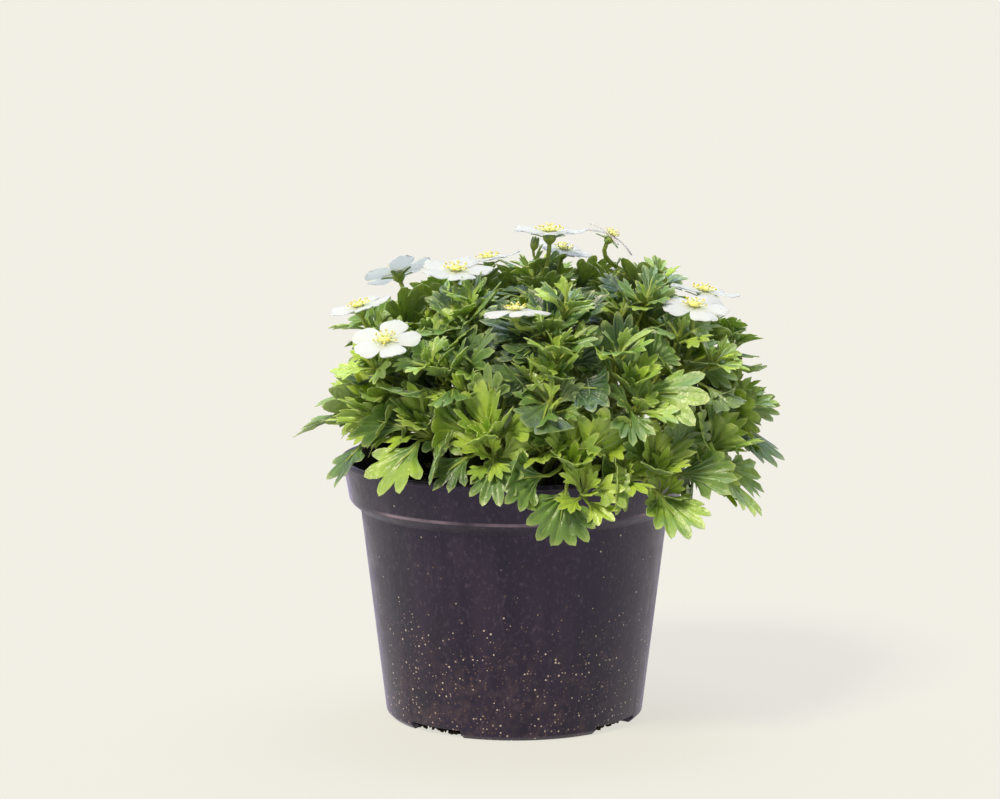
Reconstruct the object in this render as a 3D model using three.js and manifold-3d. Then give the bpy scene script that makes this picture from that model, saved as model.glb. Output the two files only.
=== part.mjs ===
// A potted mossy saxifrage: a black nursery pot full of compost, a cushion of leafy
// shoots with lobed leaves that hangs over the rim, and white flowers on short stalks.
// Millimetres, +Z up. The origin is on the pot's axis, on the surface it stands on.
// The pot's front is towards -Y.
import * as THREE from "three";
import { mergeVertices } from "three/addons/utils/BufferGeometryUtils.js";
import Module from "manifold-3d";

const wasm = await Module();
wasm.setup();

// Pot: a 12 cm nursery pot
const POT_HEIGHT = 90;
const RIM_RADIUS = 60;
const BAND_HEIGHT = 13.5;
const BAND_FOOT_RADIUS = 57.2;
const SHOULDER_HEIGHT = 3.8;
const WALL_TOP_RADIUS = 53.2;
const FOOT_RADIUS = 44.6;
const FOOT_ROUND = 1.6;
const POT_WALL = 1.2;
const POT_SIDES = 36;
const LIP_HEIGHT = 1.6;
const LIP_OUT = 0.8;
// Feet: four notches round the base let water out
const NOTCH_COUNT = 4;
const NOTCH_FIRST_DEG = -128;
const NOTCH_WIDTH = 21;
const NOTCH_HEIGHT = 2.8;
const NOTCH_INNER_RADIUS = 36;
const DRAIN_WIDTH = 11;
const DRAIN_LENGTH = 5;

// Compost
const SOIL_LEVEL = 80;
const SOIL_RINGS = 3;
const SOIL_SIDES = 24;
const GAP = 0.3;

// Cushion: the shoots' tips lie on a dome round this point
const CUSHION = new THREE.Vector3(12, 0, 94);
const CUSHION_RADII = new THREE.Vector3(60.5, 61, 52);
// A dome of squareness 1 is an ellipsoid, and a lower one has fuller shoulders
const SQUARENESS = 0.82;
const AIM_DEPTH = 36;
// One entry for each ring of shoots, from the top: how many, angle from the top and
// how much more of it the front has, first azimuth, leaf size, and how far from the
// cushion's middle its stems root
const RINGS = [
  { count: 1, polar: 4, sag: 0, turn: 200, leaf: 0.9, foot: 0 },
  { count: 6, polar: 31, sag: 3, turn: 28, leaf: 0.95, foot: 10 },
  { count: 11, polar: 55, sag: 8, turn: 6, leaf: 1.0, foot: 20 },
  { count: 14, polar: 78, sag: 16, turn: -3, leaf: 1.1, foot: 31 },
];
const AZIMUTH_JITTER = 4.5;
const POLAR_JITTER = 3.5;

// Stems
const STEM_RADIUS = 1.4;
const STEM_SIDES = 5;
const STEM_STEPS = 3;
const LOW_WHORL = [-5.4, -3.2];
const HIGH_WHORL = [-2, 0];
const BUD = 1.2;
const STEM_ROOT_DEPTH = 11;
const HOLE_RADIUS = 2.1;
const HOLE_SIDES = 5;

// Leaves
const PETIOLE = 6;
const BLADE = 20;
const PETIOLE_HALF_WIDTH = 0.95;
const BLADE_THICKNESS = 1.4;
const RIB_PLACE = 0.3;
const SECTOR = 0.66;
const MOST_FOLD = 28;
const MOST_OVER = 2;
const LEAF_CUP = 0.16;
// How much further a leaf bows, in degrees, that springs from a stem's lowest side
const DROOP = 24;
const EDGE_CLEARANCE = 0.4;
const BEND_BAND = 4;
const BEND_PASSES = 5;
const RIM_CLEARANCE = 1.8;
const RIM_LIFT = 8;
const TIP_CLEARANCE = 7;
const DRAPE = 1.8;

// Flowers
const PETAL_LENGTH = 12;
const PETALS = 5;
const STALK_RADIUS = 1;
const STALK_STEPS = 4;
const STAMENS = 8;

const PLASTIC = new THREE.MeshStandardMaterial({ color: 0x352c35, roughness: 0.42 });
const COMPOST = new THREE.MeshStandardMaterial({ color: 0x3a2a1e, roughness: 0.95 });
const LEAF = new THREE.MeshStandardMaterial({ color: 0x5f8a2c, roughness: 0.5 });
const PETAL = new THREE.MeshStandardMaterial({ color: 0xf6f6ef, roughness: 0.55 });
const STAMEN = new THREE.MeshStandardMaterial({ color: 0xdfc92e, roughness: 0.6 });

const radians = THREE.MathUtils.degToRad;

// A number from 0 to 1 that is always the same for the same pair of indices
function scatter(i, j) {
  const wave = Math.sin(i * 127.1 + j * 311.7) * 43758.5453;
  return wave - Math.floor(wave);
}

function spread(i, j, range) {
  return (scatter(i, j) * 2 - 1) * range;
}

// Solids
function solidOf(geometry) {
  const bare = geometry.index ? geometry.toNonIndexed() : geometry.clone();
  bare.deleteAttribute("normal");
  bare.deleteAttribute("uv");
  const merged = mergeVertices(bare, 1e-4);
  const solid = new wasm.Manifold(
    new wasm.Mesh({
      numProp: 3,
      vertProperties: merged.attributes.position.array,
      triVerts: new Uint32Array(merged.index.array),
    }),
  );
  return solid;
}

function meshOf(name, solid, material) {
  const data = solid.getMesh();
  const geometry = new THREE.BufferGeometry();
  geometry.setAttribute("position", new THREE.BufferAttribute(data.vertProperties, 3));
  geometry.setIndex(new THREE.BufferAttribute(data.triVerts, 1));
  geometry.computeVertexNormals();
  const mesh = new THREE.Mesh(geometry, material);
  mesh.name = name;
  return mesh;
}

function joined(solids) {
  return solids.reduce((whole, piece) => whole.add(piece));
}

function largestBody(solid) {
  const bodies = solid.decompose();
  return bodies.reduce((a, b) => (a.volume() >= b.volume() ? a : b));
}

function fromPoints(points, faces) {
  const geometry = new THREE.BufferGeometry();
  geometry.setAttribute(
    "position",
    new THREE.Float32BufferAttribute(points.flatMap((p) => [p.x, p.y, p.z]), 3),
  );
  geometry.setIndex(faces.flat());
  return geometry;
}

function polygon(radius, sides) {
  const shape = new THREE.Shape();
  for (let k = 0; k < sides; k++) {
    const a = (k / sides) * Math.PI * 2;
    const x = radius * Math.cos(a);
    const y = radius * Math.sin(a);
    if (k === 0) shape.moveTo(x, y);
    else shape.lineTo(x, y);
  }
  shape.closePath();
  return shape;
}

function tubeAlong(curve, radius, sides, steps) {
  return new THREE.ExtrudeGeometry(polygon(radius, sides), {
    extrudePath: curve,
    steps,
    bevelEnabled: false,
  });
}

function turned(profile, sides) {
  return new THREE.LatheGeometry(profile, sides).rotateX(Math.PI / 2);
}

// Pot
function potOuterProfile() {
  const bandTop = POT_HEIGHT - LIP_HEIGHT;
  return [
    new THREE.Vector2(0, 0),
    new THREE.Vector2(FOOT_RADIUS - FOOT_ROUND, 0),
    new THREE.Vector2(FOOT_RADIUS, FOOT_ROUND),
    new THREE.Vector2(WALL_TOP_RADIUS, POT_HEIGHT - BAND_HEIGHT - SHOULDER_HEIGHT),
    new THREE.Vector2(BAND_FOOT_RADIUS - 0.8, POT_HEIGHT - BAND_HEIGHT - 1.2),
    new THREE.Vector2(BAND_FOOT_RADIUS, POT_HEIGHT - BAND_HEIGHT),
    new THREE.Vector2(RIM_RADIUS - LIP_OUT, bandTop),
    new THREE.Vector2(RIM_RADIUS, bandTop + 0.3),
    new THREE.Vector2(RIM_RADIUS, POT_HEIGHT),
    new THREE.Vector2(0, POT_HEIGHT),
  ];
}

// The inside of the pot, drawn in by a further clearance for what fills it
function potInnerProfile(clearance, top) {
  const wall = POT_WALL + clearance;
  const floor = POT_WALL + clearance;
  const wallTop = POT_HEIGHT - BAND_HEIGHT - SHOULDER_HEIGHT;
  const rise = (top - wallTop - SHOULDER_HEIGHT) / BAND_HEIGHT;
  const topRadius = THREE.MathUtils.lerp(BAND_FOOT_RADIUS, RIM_RADIUS - LIP_OUT, rise);
  return [
    new THREE.Vector2(0, floor),
    new THREE.Vector2(FOOT_RADIUS - wall - FOOT_ROUND, floor),
    new THREE.Vector2(FOOT_RADIUS - wall, floor + FOOT_ROUND),
    new THREE.Vector2(WALL_TOP_RADIUS - wall, wallTop),
    new THREE.Vector2(BAND_FOOT_RADIUS - wall, wallTop + SHOULDER_HEIGHT),
    new THREE.Vector2(topRadius - wall, top),
    new THREE.Vector2(0, top),
  ];
}

// The four recesses under the base, grown by a margin on every side
function notches(margin) {
  const reach = FOOT_RADIUS + 6;
  const length = reach - NOTCH_INNER_RADIUS + margin * 2;
  const boxes = [];
  for (let k = 0; k < NOTCH_COUNT; k++) {
    const box = new THREE.BoxGeometry(
      length,
      NOTCH_WIDTH + margin * 2,
      NOTCH_HEIGHT + 2 + margin,
    );
    box.translate((NOTCH_INNER_RADIUS + reach) / 2, 0, (NOTCH_HEIGHT + margin) / 2 - 1);
    box.rotateZ(radians(NOTCH_FIRST_DEG + (k * 360) / NOTCH_COUNT));
    boxes.push(solidOf(box));
  }
  return joined(boxes);
}

function drains() {
  const slots = [];
  for (let k = 0; k < NOTCH_COUNT; k++) {
    const slot = new THREE.BoxGeometry(DRAIN_LENGTH, DRAIN_WIDTH, 6);
    slot.translate(NOTCH_INNER_RADIUS + DRAIN_LENGTH / 2 + 0.8, 0, NOTCH_HEIGHT + 1);
    slot.rotateZ(radians(NOTCH_FIRST_DEG + (k * 360) / NOTCH_COUNT));
    slots.push(solidOf(slot));
  }
  return joined(slots);
}

function pot() {
  const outside = solidOf(turned(potOuterProfile(), POT_SIDES)).subtract(notches(0));
  const hollow = solidOf(turned(potInnerProfile(0, POT_HEIGHT + 2), POT_SIDES));
  const room = hollow.subtract(notches(POT_WALL));
  return outside.subtract(room).subtract(drains());
}

// Compost: its top is uneven and rises a little to the plant's crown
function soilHeight(x, y) {
  const out = Math.hypot(x, y) / RIM_RADIUS;
  const crumbs = 0.7 * Math.sin(0.42 * x + 0.9) * Math.cos(0.37 * y)
    + 0.5 * Math.sin(0.21 * x - 0.5 * y);
  return SOIL_LEVEL + crumbs + 1.8 * (1 - out * out);
}

function soil(feet) {
  const block = turned(potInnerProfile(GAP, POT_HEIGHT - 3), SOIL_SIDES);
  const outer = POT_HEIGHT;
  const points = [new THREE.Vector3(0, 0, soilHeight(0, 0))];
  for (let ring = 1; ring <= SOIL_RINGS; ring++) {
    const radius = ring === SOIL_RINGS ? outer : (ring / (SOIL_RINGS - 1)) * BAND_FOOT_RADIUS;
    for (let k = 0; k < SOIL_SIDES; k++) {
      const a = ((k + 0.5 * (ring % 2)) / SOIL_SIDES) * Math.PI * 2;
      const x = radius * Math.cos(a);
      const y = radius * Math.sin(a);
      const held = Math.min(1, BAND_FOOT_RADIUS / radius);
      points.push(new THREE.Vector3(x, y, soilHeight(x * held, y * held)));
    }
  }
  const roof = points.length;
  const faces = [];
  const at = (ring, k) => 1 + (ring - 1) * SOIL_SIDES + (k % SOIL_SIDES);
  for (let k = 0; k < SOIL_SIDES; k++) {
    faces.push([0, at(1, k + 1), at(1, k)]);
    for (let ring = 1; ring < SOIL_RINGS; ring++) {
      const shift = ring % 2;
      const a = at(ring, k);
      const b = at(ring, k + 1);
      const c = at(ring + 1, k + shift);
      const d = at(ring + 1, k + 1);
      if (shift) faces.push([a, b, c], [a, c, at(ring + 1, k)]);
      else faces.push([a, b, c], [b, d, c]);
    }
  }
  const lidHeight = POT_HEIGHT + 5;
  for (let k = 0; k < SOIL_SIDES; k++) {
    const edge = points[at(SOIL_RINGS, k)];
    points.push(new THREE.Vector3(edge.x, edge.y, lidHeight));
  }
  const apex = points.push(new THREE.Vector3(0, 0, lidHeight)) - 1;
  for (let k = 0; k < SOIL_SIDES; k++) {
    const next = (k + 1) % SOIL_SIDES;
    const a = at(SOIL_RINGS, k);
    const b = at(SOIL_RINGS, next);
    faces.push([a, b, roof + next], [a, roof + next, roof + k]);
    faces.push([roof + k, roof + next, apex]);
  }
  const above = solidOf(fromPoints(points, faces));
  const depth = STEM_ROOT_DEPTH + GAP;
  const holes = feet.map((foot) => {
    const hole = new THREE.CylinderGeometry(HOLE_RADIUS, HOLE_RADIUS, depth * 2, HOLE_SIDES, 1);
    hole.rotateX(Math.PI / 2);
    hole.translate(foot.x, foot.y, SOIL_LEVEL);
    return solidOf(hole);
  });
  return solidOf(block).subtract(above).subtract(notches(POT_WALL + GAP)).subtract(joined(holes));
}

// Shoots: where each one's tip is, which way it points and where its stem roots
function shootPlaces() {
  const aim = CUSHION.clone().setZ(CUSHION.z - AIM_DEPTH);
  const places = [];
  RINGS.forEach((ring, r) => {
    for (let k = 0; k < ring.count; k++) {
      const id = places.length;
      const azimuth = radians(
        ring.turn + (k * 360) / ring.count + spread(id, 1, AZIMUTH_JITTER),
      );
      const polar = radians(
        ring.polar + ring.sag * Math.max(0, -Math.sin(azimuth)) + spread(id, 2, POLAR_JITTER),
      );
      const level = Math.sin(polar) ** SQUARENESS;
      const rise = Math.abs(Math.cos(polar)) ** SQUARENESS * Math.sign(Math.cos(polar));
      const out = new THREE.Vector3(level * Math.cos(azimuth), level * Math.sin(azimuth), rise);
      const tip = out.clone().multiply(CUSHION_RADII).add(CUSHION);
      liftOverRim(tip, TIP_CLEARANCE);
      const foot = new THREE.Vector3(
        CUSHION.x * 0.5 + ring.foot * Math.cos(azimuth),
        ring.foot * Math.sin(azimuth),
        0,
      );
      places.push({
        id,
        ring: r,
        tip,
        axis: tip.clone().sub(aim).normalize(),
        foot,
        leaf: ring.leaf * (1 + spread(id, 3, 0.07)),
        walls: [],
      });
    }
  });
  // Each shoot's own room ends halfway to each of its neighbours
  for (const a of places)
    for (const b of places) {
      const way = b.tip.clone().sub(a.tip);
      const far = way.length();
      if (a === b || far > 75) continue;
      way.divideScalar(far);
      a.walls.push({ normal: way, reach: way.dot(a.tip) + far / 2 });
    }
  return places;
}

function overstep(point, place) {
  return Math.max(...place.walls.map((w) => w.normal.dot(point) - w.reach));
}

// How far inside a limit a point is kept: never closer than the clearance, and less
// and less affected the further in it is
function eased(inside, clearance) {
  const spare = inside - clearance - BEND_BAND;
  return spare >= 0 ? inside : clearance + BEND_BAND * Math.exp(spare / BEND_BAND);
}

// Lifts a point that would touch the pot's rim over it
function liftOverRim(p, clearance) {
  const past = Math.hypot(p.x, p.y) - RIM_RADIUS - RIM_CLEARANCE;
  const lowest = POT_HEIGHT + RIM_CLEARANCE + Math.min(-DRAPE * past, RIM_LIFT);
  p.z = lowest + eased(p.z - lowest, clearance);
}

// Bends a point of a leaf back into its shoot's room, and clear of the pot's rim
function bentClear(point, place, clearance) {
  const p = point.clone();
  for (let pass = 0; pass < BEND_PASSES; pass++) {
    liftOverRim(p, clearance);
    for (const w of place.walls) {
      const inside = w.reach - w.normal.dot(p);
      p.addScaledVector(w.normal, inside - eased(inside, clearance));
    }
  }
  liftOverRim(p, clearance);
  return p;
}

// Leaf outlines, in blade lengths from the petiole's end, left side first
function lobedOutline(angles, reaches, widths, notchReach) {
  const root = 0.18;
  const at = (deg, reach) =>
    new THREE.Vector2(
      root + (1 - root) * reach * Math.cos(radians(deg)),
      (1 - root) * reach * Math.sin(radians(deg)),
    );
  const points = [];
  angles.forEach((angle, k) => {
    const reach = reaches[k];
    const half = widths[k];
    if (half) points.push(at(angle + half, reach * 0.78));
    points.push(at(angle, reach));
    if (half) points.push(at(angle - half, reach * 0.78));
    if (k < angles.length - 1)
      points.push(at((angle + angles[k + 1]) / 2, notchReach));
  });
  return points;
}

const BROAD_LEAF = lobedOutline([70, 37, 0, -37, -70], [0.68, 0.9, 1, 0.9, 0.68], [0, 13, 12, 13, 0], 0.52);
const YOUNG_LEAF = lobedOutline([42, 0, -42], [0.78, 1, 0.78], [0, 13, 0], 0.5);

// A leaf springs from one side of its stem and arches outwards
function leafPlace(place, base, out, young, id) {
  const size = place.leaf * (young ? 0.74 : 1) * (1 + spread(place.id, 40 + id, 0.1));
  const leaf = { base, axis: place.axis, out, across: place.axis.clone().cross(out), young };
  leaf.petiole = PETIOLE * size * (young ? 0.55 : 1);
  leaf.blade = BLADE * size;
  leaf.length = leaf.petiole + leaf.blade;
  const opened = young && place.flowering ? 12 : 0;
  const bow = -DROOP * out.z * (young ? 0.4 : 1);
  const start = (young ? 24 : 56) + opened + bow * 0.4 + spread(place.id, 60 + id, 3);
  const end = (young ? 60 : 98) + opened + bow + spread(place.id, 80 + id, 4);
  leaf.start = radians(start - place.fold * (young ? 0.15 : 0.3));
  leaf.curl = (radians(end - place.fold * (young ? 0.6 : 1)) - leaf.start) / leaf.length;
  return leaf;
}

// A point s along the leaf from its base, y to its left, z above its face
function onLeaf(leaf, s, y, z) {
  const lean = leaf.start + leaf.curl * s;
  const rise = (Math.sin(lean) - Math.sin(leaf.start)) / leaf.curl;
  const reach = (Math.cos(leaf.start) - Math.cos(lean)) / leaf.curl;
  const room = SECTOR * (reach + STEM_RADIUS * 0.81);
  return leaf.base
    .clone()
    .addScaledVector(leaf.axis, rise + z * Math.sin(lean))
    .addScaledVector(leaf.out, reach - z * Math.cos(lean))
    .addScaledVector(leaf.across, THREE.MathUtils.clamp(y, -room, room));
}

// Adds a leaf to a shoot's surface in place of the stem's side between two pairs of
// its points: low and high on the leaf's right, then low and high on its left
function addLeaf(shoot, place, leaf, [lowRight, lowLeft, highLeft, highRight]) {
  const { points, faces } = shoot;
  const put = (p) => points.push(p) - 1;
  const edge = (s, y) => {
    const lift = (LEAF_CUP * y * y) / leaf.blade;
    return put(bentClear(onLeaf(leaf, s, y, lift), place, EDGE_CLEARANCE));
  };
  const half = BLADE_THICKNESS / 2;
  const ribAt = leaf.petiole + RIB_PLACE * leaf.blade;
  const lean = leaf.start + leaf.curl * ribAt;
  const upward = leaf.axis.clone().multiplyScalar(Math.sin(lean))
    .addScaledVector(leaf.out, -Math.cos(lean));
  const middle = bentClear(onLeaf(leaf, ribAt, 0, 0), place, EDGE_CLEARANCE + half);
  const rib = put(middle.clone().addScaledVector(upward, half));
  const under = put(middle.clone().addScaledVector(upward, -half));
  const outline = leaf.young ? YOUNG_LEAF : BROAD_LEAF;
  const left = edge(leaf.petiole, PETIOLE_HALF_WIDTH);
  for (const p of outline) edge(leaf.petiole + p.x * leaf.blade, p.y * leaf.blade);
  const right = edge(leaf.petiole, -PETIOLE_HALF_WIDTH);
  faces.push(
    [highLeft, rib, left],
    [highLeft, highRight, rib],
    [highRight, right, rib],
    [highLeft, left, lowLeft],
    [highRight, lowRight, right],
    [lowLeft, left, under],
    [lowLeft, under, lowRight],
    [lowRight, under, right],
  );
  for (let k = left; k < right; k++) {
    faces.push([rib, k + 1, k]);
    faces.push([under, k, k + 1]);
  }
}

// The tighter a shoot's room, the more its leaves fold up
function foldOf(place, side, up) {
  let fold = 0;
  let over = Infinity;
  while (over > MOST_OVER && fold < MOST_FOLD) {
    fold += 4;
    over = 0;
    for (let k = 0; k < STEM_SIDES; k++) {
      const a = ((k + 0.5) / STEM_SIDES) * Math.PI * 2;
      const out = side.clone().multiplyScalar(Math.cos(a)).addScaledVector(up, Math.sin(a));
      const base = place.tip.clone().addScaledVector(place.axis, LOW_WHORL[0]);
      const leaf = leafPlace({ ...place, fold }, base, out, false, k);
      const tip = onLeaf(leaf, leaf.length, 0, 0);
      over += Math.max(0, overstep(tip, place)) / STEM_SIDES;
    }
  }
  return fold;
}

// A shoot is one surface: its stem, two whorls of leaves and, where it flowers,
// the stalk and green star of sepals under the flower
function shootSolid(place, bloom) {
  const shoot = { points: [], faces: [] };
  const { points, faces } = shoot;
  const heading = 360 * scatter(place.id, 7);
  let side = new THREE.Vector3(Math.cos(radians(heading)), Math.sin(radians(heading)), 0);
  let up = null;
  const ring = (centre, way, radius, twist) => {
    side = side.clone().addScaledVector(way, -side.dot(way)).normalize();
    up = way.clone().cross(side);
    const start = points.length;
    for (let k = 0; k < STEM_SIDES; k++) {
      const a = ((k + twist) / STEM_SIDES) * Math.PI * 2;
      points.push(
        centre.clone()
          .addScaledVector(side, radius * Math.cos(a))
          .addScaledVector(up, radius * Math.sin(a)),
      );
    }
    return start;
  };
  const band = (low, high) => {
    for (let k = 0; k < STEM_SIDES; k++) {
      const next = (k + 1) % STEM_SIDES;
      faces.push([low + k, low + next, high + next], [low + k, high + next, high + k]);
    }
  };
  const tube = (stops, low, radiusAt) => {
    let last = low;
    stops.forEach((stop, n) => {
      const before = stops[Math.max(0, n - 1)];
      const after = stops[Math.min(stops.length - 1, n + 1)];
      const next = ring(stop, after.clone().sub(before).normalize(), radiusAt(n), 0);
      if (last !== null) band(last, next);
      last = next;
    });
    return last;
  };
  const along = (distance) => place.tip.clone().addScaledVector(place.axis, distance);
  const whorl = (low, levels, young) => {
    const centre = along((levels[0] + levels[1]) / 2);
    const high = ring(along(levels[1]), place.axis, STEM_RADIUS, young ? 0.5 : 0);
    for (let k = 0; k < STEM_SIDES; k++) {
      const next = (k + 1) % STEM_SIDES;
      const a = ((k + (young ? 1 : 0.5)) / STEM_SIDES) * Math.PI * 2;
      const out = side.clone().multiplyScalar(Math.cos(a)).addScaledVector(up, Math.sin(a));
      const base = centre.clone().addScaledVector(out, STEM_RADIUS * 0.81);
      const leaf = leafPlace(place, base, out, young, young ? k + STEM_SIDES : k);
      addLeaf(shoot, place, leaf, [low + k, low + next, high + next, high + k]);
    }
    return high;
  };

  // Stem, from its foot in the compost
  const foot = place.foot.clone().setZ(SOIL_LEVEL - STEM_ROOT_DEPTH);
  const ground = place.foot.clone().setZ(SOIL_LEVEL + 2.5);
  const neck = along(LOW_WHORL[0]);
  const tall = neck.distanceTo(ground);
  const arch = neck.clone().addScaledVector(place.axis, -tall * 0.35);
  liftOverRim(arch, TIP_CLEARANCE);
  const bend = new THREE.CubicBezierCurve3(
    ground,
    ground.clone().add(new THREE.Vector3(0, 0, tall * 0.3)),
    arch,
    neck,
  );
  const stops = [];
  for (let k = 0; k < STEM_STEPS; k++) stops.push(bend.getPoint(k / STEM_STEPS));
  const start = ring(foot, new THREE.Vector3(0, 0, 1), STEM_RADIUS, 0);
  for (let k = 1; k < STEM_SIDES - 1; k++) faces.push([start, start + k + 1, start + k]);
  const shaft = tube(stops, start, () => STEM_RADIUS);
  const collar = ring(neck, place.axis, STEM_RADIUS, 0);
  band(shaft, collar);
  place.flowering = Boolean(bloom);
  place.fold = foldOf(place, side, up);

  // Whorls, the upper one turned by half a side
  const lower = whorl(collar, LOW_WHORL, false);
  const waist = ring(along(HIGH_WHORL[0]), place.axis, STEM_RADIUS, 0.5);
  for (let k = 0; k < STEM_SIDES; k++) {
    const next = (k + 1) % STEM_SIDES;
    faces.push([lower + k, lower + next, waist + k], [lower + next, waist + next, waist + k]);
  }
  const top = whorl(waist, HIGH_WHORL, true);
  if (bloom) addStalk(shoot, place, bloom, top, tube);
  else {
    const bud = points.push(along(BUD)) - 1;
    for (let k = 0; k < STEM_SIDES; k++) faces.push([top + k, top + ((k + 1) % STEM_SIDES), bud]);
  }
  return solidOf(fromPoints(points, faces));
}

// Flowers: the middle of each one, the way it faces and its size
const BLOOMS = [
  { at: [12, -2, 168], face: [0.02, 0.02, 1], size: 1.1 },
  { at: [17, 16, 160], face: [0.2, -0.1, 0.97], size: 0.85 },
  { at: [33, -2, 167], face: [0.5, -0.1, 0.86], size: 0.8 },
  { at: [-20, -8, 155.5], face: [0, -0.2, 0.98], size: 1.05 },
  { at: [-9, 22, 156], face: [-0.15, 0.1, 0.98], size: 0.95 },
  { at: [-43, -42, 136], face: [-0.1, -0.42, 0.9], size: 1 },
  { at: [-53, -8, 143], face: [-0.25, -0.05, 0.95], size: 0.95 },
  { at: [-41, 27, 151], face: [-0.3, 0.4, 0.88], size: 1.05 },
  { at: [0, -50, 147], face: [-0.05, 0.05, 1], size: 0.98 },
  { at: [60, -30, 146], face: [0.1, -0.25, 0.95], size: 1 },
  { at: [65, 2, 147], face: [0.15, 0.05, 0.98], size: 1.05 },
  { at: [-10, 52, 143], face: [-0.1, 0.45, 0.88], size: 1 },
  { at: [44, 44, 145], face: [0.2, 0.4, 0.88], size: 1 },
];

function bloomFrame(bloom) {
  const face = new THREE.Vector3(...bloom.face).normalize();
  const turn = new THREE.Quaternion().setFromUnitVectors(new THREE.Vector3(0, 0, 1), face);
  return new THREE.Matrix4().compose(
    new THREE.Vector3(...bloom.at),
    turn,
    new THREE.Vector3(1, 1, 1),
  );
}

// Height of a petal's surface above the flower's middle, at a distance from its axis
function petalRise(distance, bloom) {
  const share = distance / (PETAL_LENGTH * bloom.size);
  return PETAL_LENGTH * bloom.size * (0.2 * share * share - 0.06 * share ** 4);
}

function petalsSolid(bloom) {
  const length = PETAL_LENGTH * bloom.size;
  const outline = [
    [0.17, -0.124], [0.52, -0.3], [0.82, -0.33], [1, -0.12], [1, 0.12], [0.82, 0.33], [0.52, 0.3],
  ];
  const half = 0.5;
  const points = [new THREE.Vector3(0, 0, half), new THREE.Vector3(0, 0, -half)];
  const faces = [];
  const rim = [];
  const ribs = [];
  for (let petal = 0; petal < PETALS; petal++) {
    const turn = (petal / PETALS) * Math.PI * 2;
    const put = (x, y, lift) => {
      const out = Math.hypot(x, y) * length;
      const a = Math.atan2(y, x) + turn;
      const z = petalRise(out, bloom) + lift;
      points.push(new THREE.Vector3(out * Math.cos(a), out * Math.sin(a), z));
      return points.length - 1;
    };
    ribs.push([put(0.6, 0, half), put(0.6, 0, -half)]);
    rim.push(outline.map(([x, y]) => put(x, y, 0)));
  }
  for (let petal = 0; petal < PETALS; petal++) {
    const [top, bottom] = ribs[petal];
    const around = [...rim[petal], rim[(petal + 1) % PETALS][0]];
    for (let k = 0; k < around.length - 1; k++) {
      faces.push([top, around[k], around[k + 1]]);
      faces.push([bottom, around[k + 1], around[k]]);
    }
    faces.push([top, around[around.length - 1], 0], [top, 0, around[0]]);
    faces.push([bottom, 1, around[around.length - 1]], [bottom, around[0], 1]);
  }
  return solidOf(fromPoints(points, faces).applyMatrix4(bloomFrame(bloom)));
}

// The yellow middle: a low dome whose sides are drawn out into stamens
function stamensSolid(bloom) {
  const size = bloom.size;
  const seat = 0.5 + GAP + 0.25;
  const points = [];
  const faces = [];
  const put = (radius, a, z) => points.push(new THREE.Vector3(radius * Math.cos(a), radius * Math.sin(a), z)) - 1;
  const low = [];
  const high = [];
  for (let k = 0; k < STAMENS; k++) {
    const a = (k / STAMENS) * Math.PI * 2;
    low.push(put(2.1 * size, a, seat));
    high.push(put(1.5 * size, a, seat + 1.5 * size));
  }
  const crown = put(0, 0, seat + 2.3 * size);
  const base = put(0, 0, seat);
  for (let k = 0; k < STAMENS; k++) {
    const next = (k + 1) % STAMENS;
    faces.push([crown, high[k], high[next]], [base, low[next], low[k]]);
    const middle = ((k + 0.5) / STAMENS) * Math.PI * 2;
    const reach = (k % 2 ? 4.1 : 4.9) * size;
    const lift = seat + (k % 2 ? 2.6 : 1.7) * size;
    const half = 0.42 / reach;
    const tip = [
      put(reach, middle - half, lift),
      put(reach, middle + half, lift),
      put(reach - 0.2, middle + half, lift + 0.85),
      put(reach - 0.2, middle - half, lift + 0.85),
    ];
    const root = [low[k], low[next], high[next], high[k]];
    for (let n = 0; n < 4; n++) {
      const m = (n + 1) % 4;
      faces.push([root[n], root[m], tip[m]], [root[n], tip[m], tip[n]]);
    }
    faces.push([tip[0], tip[1], tip[2]], [tip[0], tip[2], tip[3]]);
  }
  return solidOf(fromPoints(points, faces).applyMatrix4(bloomFrame(bloom)));
}

// The stalk from the top of a shoot, and the green star of sepals under the flower
function addStalk(shoot, place, bloom, top, tube) {
  const { points, faces } = shoot;
  const frame = bloomFrame(bloom);
  const face = new THREE.Vector3(...bloom.face).normalize();
  const seat = -(0.5 + GAP + 0.1);
  const cup = new THREE.Vector3(...bloom.at).addScaledVector(face, seat - 2.6 * bloom.size);
  const tall = cup.distanceTo(place.tip);
  const curve = new THREE.CubicBezierCurve3(
    place.tip,
    place.tip.clone().addScaledVector(place.axis, tall * 0.45),
    cup.clone().addScaledVector(face, -tall * 0.35),
    cup,
  );
  const stops = [];
  for (let k = 1; k <= STALK_STEPS; k++) stops.push(curve.getPoint(k / STALK_STEPS));
  const neck = tube(stops, top, () => STALK_RADIUS);
  const star = points.length;
  const tips = STEM_SIDES * 2;
  const turn = new THREE.Matrix4().copy(frame).invert();
  const local = points[neck].clone().applyMatrix4(turn);
  const first = Math.atan2(local.y, local.x);
  for (let k = 0; k < tips; k++) {
    const a = first + (k / tips) * Math.PI * 2;
    const radius = (k % 2 ? 5 : 2.2) * bloom.size;
    const z = seat - (k % 2 ? 0 : 0.6);
    points.push(
      new THREE.Vector3(radius * Math.cos(a), radius * Math.sin(a), z).applyMatrix4(frame),
    );
  }
  const middle = points.push(new THREE.Vector3(0, 0, seat).applyMatrix4(frame)) - 1;
  for (let k = 0; k < STEM_SIDES; k++) {
    const next = (k + 1) % STEM_SIDES;
    const a = star + 2 * k;
    const b = star + 2 * next;
    faces.push([neck + k, a + 1, a], [neck + k, neck + next, a + 1], [neck + next, b, a + 1]);
    faces.push([a, a + 1, middle], [a + 1, b, middle]);
  }
}

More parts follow.
